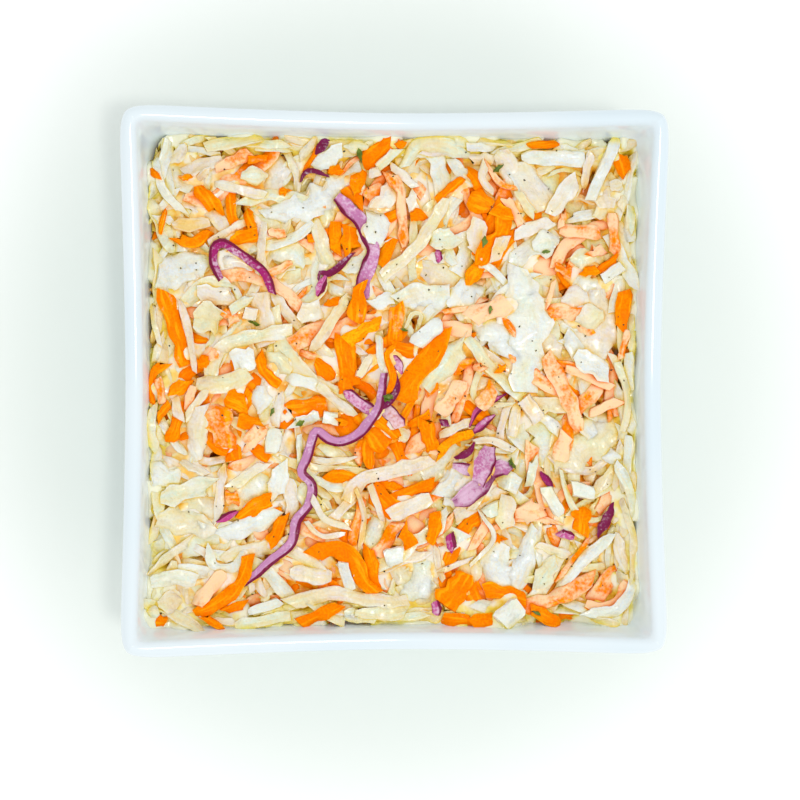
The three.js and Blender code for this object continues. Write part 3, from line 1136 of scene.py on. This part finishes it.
# Attributes of a path that are lengths, and those that no material reads
LENGTHS = ("spine", "left", "right", "thick", "cup", "slant", "crinkle")
SPENT = ("spine", "across", "up", "slant", "left", "right", "thick", "cup", "crinkle", "ring")
CRINKLE_SIZE = 170.0
RAG_SIZE = 240.0
SHARP_ANGLE = 55  # degrees
SMOOTH_CELLS = 3
LOW_CELLS = 5
LOW_OVER_MAP = 0.8


def cut_pieces():
    """Gives each laid path its body: a flattened ring swept along it in the piece's own frame."""
    tree, given = new_tree("Cut pieces", {
        "Sides": "Int",
        "Edge roundness": "Float",
        "Crinkle size": "Float",
        "Raggedness": "Float",
        "Rag size": "Float",
        "Sharp angle": "Float",
        "Material": "Material",
    })
    line = add(tree, "GeometryNodeMeshToCurve", {"Mesh": given["Geometry"]})
    ring = add(tree, "GeometryNodeCurvePrimitiveCircle", {"Resolution": given["Sides"]})
    ring = add(tree, "GeometryNodeStoreNamedAttribute",
               {"Geometry": ring, "Name": "ring", "Value": add(tree, "GeometryNodeInputPosition")},
               data_type="FLOAT_VECTOR", domain="POINT")
    body = add(tree, "GeometryNodeCurveToMesh",
               {"Curve": line, "Profile Curve": ring, "Fill Caps": True})
    around, spine, across, up, slant = (
        add(tree, "vector", name) for name in ("ring", "spine", "across", "up", "slant")
    )
    left, right, thick, cup, crinkle = (
        add(tree, "number", name) for name in ("left", "right", "thick", "cup", "crinkle")
    )
    parts = add(tree, "ShaderNodeSeparateXYZ", {0: around}).outputs
    v, w = (
        add(tree, "multiply", add(tree, "power", add(tree, "absolute", parts[axis]),
                                  given["Edge roundness"]), add(tree, "sign", parts[axis]))
        for axis in (0, 1)
    )
    reach = add(tree, "multiply", add(tree, "maximum", v, 0.0), right)
    reach = add(tree, "multiply_add", add(tree, "minimum", v, 0.0), left, reach)
    rag = add(tree, "shift", add(tree, "stretch", around, 0.3), spine)
    rag = add(tree, "ShaderNodeTexNoise",
              {"Vector": rag, "Scale": given["Rag size"], "Detail": 1.0})
    rag = add(tree, "multiply_add", add(tree, "subtract", rag, 0.5), given["Raggedness"], 1.0)
    reach = add(tree, "multiply", reach, rag)
    place = add(tree, "shift", spine, add(tree, "stretch", across, reach))
    place = add(tree, "shift", place, add(tree, "stretch", slant, v))
    noise = add(tree, "ShaderNodeTexNoise",
                {"Vector": place, "Scale": given["Crinkle size"], "Detail": 1.0})
    bulge = add(tree, "multiply", add(tree, "multiply", v, v), cup)
    bulge = add(tree, "multiply_add", add(tree, "subtract", noise, 0.5), crinkle, bulge)
    height = add(tree, "multiply_add", w, thick, bulge)
    place = add(tree, "shift", place, add(tree, "stretch", up, height))
    body = add(tree, "GeometryNodeSetPosition", {"Geometry": body, "Position": place})
    body = add(tree, "GeometryNodeStoreNamedAttribute",
               {"Geometry": body, "Name": "side", "Value": v}, data_type="FLOAT", domain="POINT")
    body = add(tree, "GeometryNodeSetShadeSmooth", {"Geometry": body})
    sharp = add(tree, "FunctionNodeCompare",
                {0: add(tree, "GeometryNodeInputMeshEdgeAngle"), 1: given["Sharp angle"]},
                data_type="FLOAT", operation="GREATER_THAN")
    body = add(tree, "GeometryNodeSetShadeSmooth",
               {"Geometry": body, "Selection": sharp, "Shade Smooth": False}, domain="EDGE")
    end_tree(tree, body, given["Material"])
    return tree


def make_pieces(heap, name, cuts, material, sides=8, roundness=0.5, raggedness=0.4):
    """One object for all the pieces of these cuts, with how deep each point lies."""
    laid = [piece for cut in cuts for piece in heap.pieces.get(cut, [])]
    attributes = {}
    for key in laid[0]:
        values = np.concatenate([piece[key] for piece in laid])
        attributes[key] = values * MM if key in LENGTHS else values
    edges, first = [], 0
    for piece in laid:
        n = len(piece["along"])
        edges += [(first + i, first + i + 1) for i in range(n - 1)]
        first += n
    thing = new_object(name, attributes["spine"], edges, attributes=attributes)
    grow(thing, cut_pieces_tree, {
        "Sides": sides,
        "Edge roundness": roundness,
        "Crinkle size": CRINKLE_SIZE,
        "Raggedness": raggedness,
        "Rag size": RAG_SIZE,
        "Sharp angle": math.radians(SHARP_ANGLE),
        "Material": material,
    })
    for spent in SPENT:
        if spent in thing.data.attributes:
            thing.data.attributes.remove(thing.data.attributes[spent])
    store_depth(heap, thing)
    return thing


def raise_core(heap, core):
    """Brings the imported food's top to just under the loose pieces, so that no deep holes are left."""
    mesh = core.data
    points = points_of(mesh)
    top = np.zeros(len(points), np.float32)
    mesh.attributes["top"].data.foreach_get("value", top)
    x, y = points[:, 0] / MM, points[:, 1] / MM
    level = heap.low[heap.cells(x, y)] - CORE_UNDER
    level -= BARE_DROP * (squared_distance(x, y) > wall_room(EDGE_LEVEL))
    points[:, 2] = np.where(top > 0.5, level * MM, points[:, 2])
    mesh.vertices.foreach_set("co", points.ravel())
    mesh.update()


def store_depth(heap, thing):
    """Keeps, for each point, how far in mm it lies under the heap's smoothed top."""
    mesh = thing.data
    points = points_of(mesh) / MM
    top = heap.smooth[heap.cells(points[:, 0], points[:, 1])]
    depth = mesh.attributes.new("depth", "FLOAT", "POINT")
    depth.data.foreach_set("value", (top - points[:, 2]).astype(np.float32))


# ---- Dressing ----

DRESSING_CELLS = 186
DRESSING_DEPTH = 1.0  # mean depth in mm under the smoothed top of the pieces
DRESSING_SWING = 0.55
DRESSING_LEAST_DEPTH = 0.3
DRESSING_HOLES = 4.0  # how much deeper it lies in the few gaps that it leaves open
DRESSING_CLIMB = 1.5  # how far it creeps up the wall
DRESSING_CLIMB_WIDTH = 1.2
DRESSING_BASE = CORE_TOP - 3
DRESSING_OFF_WALL = 0.03
RIPPLE = 0.3
RIPPLE_SIZE = 150.0


def dressing_skin():
    """Gives the dressing's surface its fine ripple, and its material."""
    tree, given = new_tree("Dressing skin", {
        "Ripple": "Float",
        "Ripple size": "Float",
        "Material": "Material",
    })
    noise = add(tree, "ShaderNodeTexNoise", {"Scale": given["Ripple size"], "Detail": 2.0})
    noise = add(tree, "multiply", add(tree, "subtract", noise, 0.5), given["Ripple"])
    lift = add(tree, "ShaderNodeCombineXYZ", {"Z": noise})
    skin = add(tree, "GeometryNodeSetPosition", {"Geometry": given["Geometry"], "Offset": lift})
    skin = add(tree, "GeometryNodeSetShadeSmooth", {"Geometry": skin})
    end_tree(tree, skin, given["Material"])
    return tree


def make_dressing(heap, material):
    """Dressing that has run in between the pieces: a skin a little under their tops."""
    n = DRESSING_CELLS
    reach = wall_room(EDGE_LEVEL)
    line = np.linspace(-reach, reach, n)
    x, y = np.meshgrid(line, line)
    pull = np.minimum(reach / np.maximum(squared_distance(x, y), 1), 1)
    x, y = x * pull, y * pull
    sway = blurred(heap.random.normal(0, 1, heap.map.shape), 5)
    gaps = blurred(heap.random.normal(0, 1, heap.map.shape), 3)
    depth = DRESSING_DEPTH + DRESSING_SWING * sway / sway.std()
    depth += DRESSING_HOLES * np.clip(gaps / gaps.std() - 0.7, 0, 1)
    pool = heap.smoothed(SMOOTH_CELLS) - np.maximum(depth, DRESSING_LEAST_DEPTH)
    from_wall = reach - squared_distance(x, y)
    z = pool[heap.cells(x, y)] + DRESSING_CLIMB * np.exp(-from_wall / DRESSING_CLIMB_WIDTH)
    at_wall = (squared_distance(x, y) / reach) ** 24
    spread = 1 + (wall_room(z) - DRESSING_OFF_WALL - reach) / reach * at_wall
    points = np.column_stack([(x * spread).ravel(), (y * spread).ravel(), z.ravel()])
    index = np.arange(n * n).reshape(n, n)
    faces = np.stack([index[:-1, :-1], index[:-1, 1:], index[1:, 1:], index[1:, :-1]], axis=-1)
    rim = np.concatenate([index[0, :-1], index[:-1, -1], index[-1, :0:-1], index[:0:-1, 0]])
    below = points[rim]
    below[:, 2] = DRESSING_BASE
    below[:, :2] *= (wall_room(DRESSING_BASE) - 1) / reach
    under = n * n + np.arange(len(rim))
    around = zip(np.roll(rim, -1), rim, under, np.roll(under, -1))
    faces = [*faces.reshape(-1, 4).tolist(), *(list(map(int, face)) for face in around),
             under[::-1].tolist()]
    thing = new_object("dressing", np.concatenate([points, below]) * MM, faces=faces)
    grow(thing, dressing_skin(), {
        "Ripple": RIPPLE * MM,
        "Ripple size": RIPPLE_SIZE,
        "Material": material,
    })
    store_depth(heap, thing)
    return thing


# ---- Pepper ----

PEPPER_COUNT = 170
PEPPER_SIZE = 0.8
PEPPER_ROUGHNESS_SIZE = 1800.0
GRAIN_NOISE = (0.3, 0.7)  # the noise between these pushes a grain's surface between the next two
GRAIN_PUSH = (0.6, 1.3)
GRAIN_LEAST = (0.5, 0.45, 0.3)  # a grain is longer than it is wide, and flatter still
GRAIN_MOST = (1.2, 0.9, 0.65)


def pepper_grains():
    """Rough grains, one on each point of a scatter."""
    tree, given = new_tree("Pepper grains", {
        "Grain size": "Float",
        "Roughness size": "Float",
        "Seed": "Int",
        "Material": "Material",
    })
    grain = add(tree, "GeometryNodeMeshUVSphere",
                {"Segments": 7, "Rings": 5, "Radius": given["Grain size"]})
    noise = add(tree, "ShaderNodeTexNoise", {"Scale": given["Roughness size"], "Detail": 1.0})
    push = add(tree, "range", noise, *GRAIN_NOISE, *GRAIN_PUSH, interpolation_type="LINEAR")
    shape = add(tree, "stretch", add(tree, "GeometryNodeInputPosition"), push)
    grain = add(tree, "GeometryNodeSetPosition", {"Geometry": grain, "Position": shape})
    turn = add(tree, "FunctionNodeRandomValue",
               {"Min": (0, 0, 0), "Max": (6.3, 6.3, 6.3), "Seed": given["Seed"]},
               data_type="FLOAT_VECTOR")
    size = add(tree, "FunctionNodeRandomValue",
               {"Min": GRAIN_LEAST, "Max": GRAIN_MOST, "Seed": given["Seed"]},
               data_type="FLOAT_VECTOR")
    grains = add(tree, "GeometryNodeInstanceOnPoints",
                 {"Points": given["Geometry"], "Instance": grain, "Rotation": turn,
                  "Scale": size})
    end_tree(tree, grains, given["Material"])
    return tree


def make_pepper(heap, material):
    r = heap.random
    reach = wall_room(EDGE_LEVEL) - 3
    x, y = r.uniform(-reach, reach, (2, PEPPER_COUNT))
    z = heap.map[heap.cells(x, y)] - 0.05
    thing = new_object("pepper", np.column_stack([x, y, z]) * MM)
    return grow(thing, pepper_grains(), {
        "Grain size": PEPPER_SIZE / 2 * MM,
        "Roughness size": PEPPER_ROUGHNESS_SIZE,
        "Seed": SEED,
        "Material": material,
    })


# ---- Materials ----

FIBRE_PACE = 0.12  # of the fibres' pattern, for each mm along a piece
PIECES_APART = 61.0  # in that pattern
FILM_START = 0.75  # cover at which dressing begins to show on a piece
FILM_OF_COAT = 0.6  # how much a thick coat adds to the cover
SEAM_REACH = 3.2  # mm within which a neighbour paints shade on a piece
SEAM = (0.97, 0.28)  # openness where the painted shade of a seam begins and is full
SUNK = (0.5, 3.5)  # the same for the painted shade under the heap's top, in mm
HOLE = (2.8, 4.6)  # and for the painted brown shade of the deepest gaps


def new_material(name, **values):
    """A material of one Principled shader with these constants. Returns its tree and shader too."""
    material = bpy.data.materials.new(name)
    material.use_nodes = True
    tree = material.node_tree
    shader = tree.nodes["Principled BSDF"]
    for key, value in values.items():
        shader.inputs[key.replace("_", " ")].default_value = value
    return material, tree, shader


def coat_with(shader, colour, *bumps, roughness=None):
    """Links a colour, and bumps as (height, depth in mm, strength), each laid over the one before."""
    tree = shader.id_data
    surface = {"Base Color": colour, "Roughness": roughness}
    for height, depth, strength in bumps:
        below = {"Normal": surface["Normal"]} if "Normal" in surface else {}
        surface["Normal"] = add(tree, "ShaderNodeBump", {
            "Height": height, "Distance": depth * MM, "Strength": strength, **below,
        })
    for socket, node in surface.items():
        if node is not None:
            out = next(out for out in node.outputs if out.enabled)
            tree.links.new(out, shader.inputs[socket])


def tinted(tree, value, stops):
    """A colour scale from evenly spaced hex colours."""
    node = add(tree, "ShaderNodeValToRGB", {"Fac": value})
    ramp = node.color_ramp
    while len(ramp.elements) < len(stops):
        ramp.elements.new(0.5)
    for i, stop in enumerate(stops):
        ramp.elements[i].position = i / (len(stops) - 1)
        ramp.elements[i].color = paint(stop)
    return node


def layered(tree, colour, *layers):
    """Lays tints over a colour, each as its share and its colour."""
    for share, tint in layers:
        colour = add(tree, "mix", share, colour, tint)
    return colour


def grain(tree, millimetres, detail=2.0):
    """Noise whose lumps are about this wide."""
    return add(tree, "ShaderNodeTexNoise", {
        "Vector": add(tree, "place"), "Scale": 0.5 / (millimetres * MM), "Detail": detail,
    })


def fibres(tree, millimetres):
    """Noise drawn out along each piece, of streaks about this wide on a piece 2 mm wide."""
    where = add(tree, "ShaderNodeCombineXYZ", {
        "X": add(tree, "multiply", add(tree, "stored", "along"), FIBRE_PACE),
        "Y": add(tree, "multiply", add(tree, "stored", "side"), 1 / millimetres),
        "Z": add(tree, "multiply", add(tree, "stored", "piece"), PIECES_APART),
    })
    return add(tree, "ShaderNodeTexNoise", {"Vector": where, "Scale": 1.0, "Detail": 3.0})


def painted_crevice_light(tree, colour, near, deep):
    """Painted colours of light that has gone back and forth between pieces, and of shade.

    near is painted in the seams, deep is painted under the heap's top, and brown painted shade in the
    deepest gaps of all.
    """
    # painted shade: seams are tinted by how closed in they are, and the rest by how far under the top
    # they lie
    seam = add(tree, "ShaderNodeAmbientOcclusion", {"Distance": SEAM_REACH * MM}, samples=6,
               only_local=False).outputs["AO"]
    depth = add(tree, "stored", "depth")
    return layered(
        tree, colour,
        (add(tree, "range", seam, *SEAM, 0.0, 0.95), near),
        (add(tree, "range", depth, *SUNK, 0.0, 0.85), deep),
        (add(tree, "range", depth, *HOLE, 0.0, 0.9), "#8A3C04"),
    )


def dressing_film(tree, fine, least, most):
    """Where creamy dressing clings: blotches a few mm wide that break up in a finer pattern."""
    cover = add(tree, "add", fine, grain(tree, 4.0))
    cover = add(tree, "multiply_add", add(tree, "stored", "coat"), FILM_OF_COAT, cover)
    return add(tree, "range", cover, FILM_START + least, FILM_START + most)


def glazed_porcelain():
    """Slip-cast porcelain under a clear glossy glaze: cool white, with a slow ripple.

    Where walls face each other they throw light back and forth; this light is painted in, lifting the
    white there.
    """
    material, tree, shader = new_material("glazed porcelain", Roughness=0.12, IOR=1.5)
    cloud = add(tree, "range", grain(tree, 25.0, 1.0), 0.35, 0.65)
    facing = add(tree, "ShaderNodeAmbientOcclusion", {"Distance": 45 * MM}, samples=8).outputs["AO"]
    colour = add(tree, "mix", cloud, "#D2DEE4", "#D8E1E5")
    # painted bounced light: the white is lifted where the walls face each other
    colour = add(tree, "mix", add(tree, "range", facing, 0.97, 0.5, 0.0, 0.85), colour, "#E8F6FC")
    coat_with(shader, colour, (grain(tree, 12.0, 1.0), 0.25, 0.6))
    return material


def cut_white_cabbage():
    """Raw white cabbage, cut and dressed: translucent, wet, with fine veins along each piece.

    The tint drifts across a piece from cool white to lemon or pale pink, as the leaf is thick or
    thin and the dressing lies on it.
    """
    material, tree, shader = new_material(
        "cut white cabbage", IOR=1.38, Subsurface_Weight=0.35,
        Subsurface_Radius=(1.3, 1.1, 0.8), Subsurface_Scale=MM, Coat_Weight=0.5,
        Coat_Roughness=0.16, Coat_IOR=1.4,
    )
    drift = add(tree, "range", grain(tree, 4.5, 1.0), 0.3, 0.7, -0.14, 0.14)
    patch = add(tree, "range", fibres(tree, 1.4), 0.3, 0.7, -0.1, 0.1)
    tone = add(tree, "add", add(tree, "add", drift, patch), add(tree, "stored", "tone"),
               use_clamp=True)
    colour = tinted(tree, tone, ["#DADFDE", "#D6DFCA", "#E2DCB4", "#E2D8C2", "#E1D6D2", "#E8C068"])
    # painted highlight: the edges of each piece are lighter, as they catch the light
    lit_edge = add(tree, "absolute", add(tree, "stored", "side"))
    film = dressing_film(tree, fibres(tree, 0.9), 0.4, 1.0)
    colour = layered(
        tree, colour,
        # painted highlight along the edges
        (add(tree, "range", lit_edge, 0.55, 1.0, 0.0, 0.45), "#E8E4D8"),
        (add(tree, "range", fibres(tree, 0.5), 0.45, 0.62, 0.0, 0.45), "#E8CE88"),  # veins
        (add(tree, "range", grain(tree, 0.4), 0.45, 0.65, 0.0, 0.3), "#E8CC88"),  # cells
        (add(tree, "multiply", film, 0.8), "#E4E8E4"),
    )
    # painted shade and bounced light: warm tints for the seams (near) and under the heap's top (deep)
    near = tinted(tree, tone, ["#FCE05A", "#F8E048", "#FFDA3C", "#FFCF38", "#FFC838", "#FFB624"])
    deep = tinted(tree, tone, ["#D8A018", "#C8A018", "#E09810", "#F89408", "#F88C08", "#F08000"])
    coat_with(shader, painted_crevice_light(tree, colour, near, deep), (fibres(tree, 0.3), 0.3, 0.7),
              (grain(tree, 1.0, 3.0), 0.8, 0.9), (grain(tree, 3.2, 1.0), 2.4, 0.8),
              roughness=add(tree, "range", grain(tree, 1.2), 0.35, 0.65, 0.1, 0.4))
    return material


def grated_carrot():
    """Raw grated carrot: flat saturated orange, under a streaked film where it is dressed."""
    material, tree, shader = new_material(
        "grated carrot", IOR=1.38, Specular_IOR_Level=0.03, Subsurface_Weight=0.2,
        Subsurface_Radius=(2.0, 0.7, 0.2), Subsurface_Scale=MM, Roughness=0.35,
    )
    colour = tinted(tree, add(tree, "stored", "tone"), ["#FF7200", "#FF8800", "#FF9400", "#FFB60C"])
    streaked = add(tree, "add", grain(tree, 0.45, 3.0), fibres(tree, 0.7))
    film = dressing_film(tree, add(tree, "multiply", streaked, 0.5), 0.49, 0.8)
    colour = layered(
        tree, colour,
        (add(tree, "range", grain(tree, 3.0), 0.4, 0.65, 0.0, 0.5), "#FA7400"),  # flesh and core
        (add(tree, "range", grain(tree, 0.35, 3.0), 0.42, 0.62, 0.0, 0.6), "#F26C00"),  # pores
        (add(tree, "range", fibres(tree, 0.4), 0.5, 0.66, 0.0, 0.6), "#FFB814"),  # grater's marks
        (add(tree, "multiply", film, 0.85), "#F6DAB2"),
    )
    # painted shade in the seams and under the heap's top
    coat_with(shader, painted_crevice_light(tree, colour, "#FA7E00", "#DC6000"),
              (fibres(tree, 0.5), 0.2, 0.6), (grain(tree, 0.9, 3.0), 0.4, 0.6))
    return material


def cut_red_cabbage():
    """Red cabbage: magenta pink where it is cut, and nearly black purple skin along one edge.

    A pale piece is cut across the rib, and has less skin.
    """
    material, tree, shader = new_material(
        "cut red cabbage", IOR=1.38, Specular_IOR_Level=0.3, Subsurface_Weight=0.15,
        Subsurface_Radius=(1.5, 0.6, 1.2), Subsurface_Scale=MM, Roughness=0.22,
    )
    tone = add(tree, "stored", "tone")
    colour = tinted(tree, tone, ["#701040", "#B81878", "#BC4A8A", "#BA88B0", "#D8986C"])
    veins = add(tree, "multiply", add(tree, "range", fibres(tree, 0.5), 0.4, 0.7, 0.0, 0.5),
                add(tree, "range", tone, 0.1, 0.4))
    film = dressing_film(tree, grain(tree, 0.45, 3.0), 0.35, 0.7)
    wander = add(tree, "range", fibres(tree, 0.8), 0.3, 0.7, -0.15, 0.15)
    bare = add(tree, "range", add(tree, "stored", "coat"), 0.25, 0.45, 0.22, 0.66)
    edge = add(tree, "subtract", add(tree, "subtract", wander, add(tree, "stored", "side")), bare)
    colour = layered(
        tree, colour,
        (veins, "#D898BC"),
        (add(tree, "multiply", film, 0.55), "#ECDCEA"),
        (add(tree, "range", edge, 0.0, 0.26), "#740838"),  # skin
    )
    # painted shade in the seams and under the heap's top
    coat_with(shader, painted_crevice_light(tree, colour, "#8E2A6A", "#70204A"), (grain(tree, 1.0), 0.5, 0.7))
    return material


def shaded_core():
    """Packed slaw under the loose pieces, seen in gaps only, in painted brown and ochre shade."""
    material, tree, shader = new_material("packed slaw in painted shade", Roughness=0.35, IOR=1.4)
    blotch = add(tree, "range", grain(tree, 3.0, 4.0), 0.3, 0.7)
    coat_with(shader, tinted(tree, blotch, ["#6E2E00", "#B85C04", "#F09820"]))
    return material


def creamy_dressing():
    """Thin oily dressing, cream near the top, with painted shade: golden and then brown down in the
    gaps.

    By the wall, painted light that comes off the glaze makes it lemon instead, with painted olive shade
    lower down.
    """
    material, tree, shader = new_material(
        "creamy slaw dressing", Roughness=0.15, IOR=1.4, Subsurface_Weight=0.4,
        Subsurface_Radius=(1.3, 1.1, 0.8), Subsurface_Scale=MM,
    )
    blotch = add(tree, "range", grain(tree, 2.5, 3.0), 0.3, 0.7, -0.3, 0.25)
    sunk = add(tree, "multiply_add", add(tree, "stored", "depth"), 0.33, blotch)
    # painted shade: cream to brown the deeper the dressing lies; by the wall, painted light off the
    # glaze
    inside = tinted(tree, sunk, ["#F2EAD8", "#FADC94", "#FCBC40", "#F29410", "#B45C04", "#6E2E00"])
    glaze_light_by_wall = tinted(tree, sunk, ["#EEECD0", "#F0E490", "#E8D44C", "#C8AA24", "#A07818", "#6E4A06"])
    place = add(tree, "ShaderNodeVectorMath", {0: add(tree, "place")}, operation="ABSOLUTE")
    place = add(tree, "ShaderNodeSeparateXYZ", {0: place}).outputs
    out = add(tree, "range", add(tree, "maximum", place["X"], place["Y"]), 60 * MM, 70 * MM)
    coat_with(shader, add(tree, "mix", out, inside, glaze_light_by_wall), (grain(tree, 1.2), 0.3, 0.6))
    return material


def chopped_parsley():
    """Chopped parsley leaf: deep fresh green, lighter on the veins."""
    material, tree, shader = new_material("chopped parsley", Roughness=0.4)
    coat_with(shader, tinted(tree, grain(tree, 0.8), ["#284404", "#566E0C", "#8C9C1C"]))
    return material


def ground_pepper():
    """Coarse ground black pepper: near black skin with paler broken faces."""
    material, tree, shader = new_material("ground black pepper", Roughness=0.6)
    faces = add(tree, "range", grain(tree, 0.5), 0.4, 0.7)
    coat_with(shader, tinted(tree, faces, ["#1C1612", "#2A2018", "#6A5238"]))
    return material


# ---- Floor, lights and the scene itself ----

LAMP_COLOUR = (1, 0.99, 0.97)
SKY_COLOUR = (0.97, 0.99, 1, 1)
SKY_STRENGTH = 1.015
FLOOR_HALF = 2.0
FLOOR_SHADE = (0.104, 0.184)  # metres from the middle, where the floor's painted shade around the bowl ends


def make_floor():
    corners = [(x * FLOOR_HALF, y * FLOOR_HALF, 0) for x, y in ((-1, -1), (1, -1), (1, 1), (-1, 1))]
    floor = new_object("floor", corners, faces=[(0, 1, 2, 3)])
    material, tree, shader = new_material("pale matte floor", Roughness=0.8)
    away = add(tree, "ShaderNodeVectorMath", {0: add(tree, "place")}, operation="LENGTH")
    away = add(tree, "range", away.outputs["Value"], *FLOOR_SHADE)
    # painted shade: the floor is darker near the bowl, fading to white further off
    coat_with(shader, add(tree, "mix", away, "#E0E5DF", "#FEFFFE"))
    floor.data.materials.append(material)


def make_light(name, place, size, energy):
    light = bpy.data.lights.new(name, "AREA")
    light.size = size
    light.energy = energy
    light.color = LAMP_COLOUR
    lamp = bpy.data.objects.new(name, light)
    lamp.location = place
    lamp.rotation_euler = Vector(place).to_track_quat("Z", "Y").to_euler()
    bpy.context.scene.collection.objects.link(lamp)


make_camera()
squared_sweep_tree = squared_sweep()
cut_pieces_tree = cut_pieces()

bowl = sweep_square("porcelain_bowl", bowl_section(), BOWL_COLUMNS, glazed_porcelain())
core = sweep_square("slaw_core", core_section(), CORE_COLUMNS, shaded_core())

heap = Heap()
fill_bowl(heap)
line_walls(heap)
lay_top(heap)
heap.smooth = heap.smoothed(SMOOTH_CELLS)
heap.low = np.minimum(heap.smoothed(LOW_CELLS), heap.map + LOW_OVER_MAP)
raise_core(heap, core)
store_depth(heap, core)
cabbage = cut_white_cabbage()
red_cabbage = cut_red_cabbage()
food = [
    core,
    make_pieces(heap, "cabbage_shreds", ("shred", "curl"), cabbage),
    make_pieces(heap, "cabbage_flakes", ("flake", "oval"), cabbage, sides=12, raggedness=0.6),
    make_pieces(heap, "cabbage_leaves", ("leaf",), cabbage, sides=16, raggedness=0.5),
    make_pieces(heap, "cabbage_ribs", ("rib",), cabbage),
    make_pieces(heap, "carrot_shreds", ("carrot", "chip"), grated_carrot()),
    make_pieces(heap, "red_cabbage", ("red", "skin", "ruffle"), red_cabbage, sides=12),
    make_pieces(heap, "parsley", ("parsley",), chopped_parsley()),
    make_dressing(heap, creamy_dressing()),
    make_pepper(heap, ground_pepper()),
]

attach(bowl, "root")
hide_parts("bowl")
for piece in food:
    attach(piece, "root")
    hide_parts("coleslaw")

make_floor()
make_light("softbox", (0.6, -0.65, 1.15), 0.7, 1.5)
make_light("small lamp", (0.16, -0.13, 1.35), 0.12, 3.4)
world = bpy.data.worlds.new("studio")
world.use_nodes = True
sky = world.node_tree.nodes["Background"].inputs
sky["Color"].default_value = SKY_COLOUR
sky["Strength"].default_value = SKY_STRENGTH
bpy.context.scene.world = world
bpy.context.scene.view_settings.view_transform = "Standard"
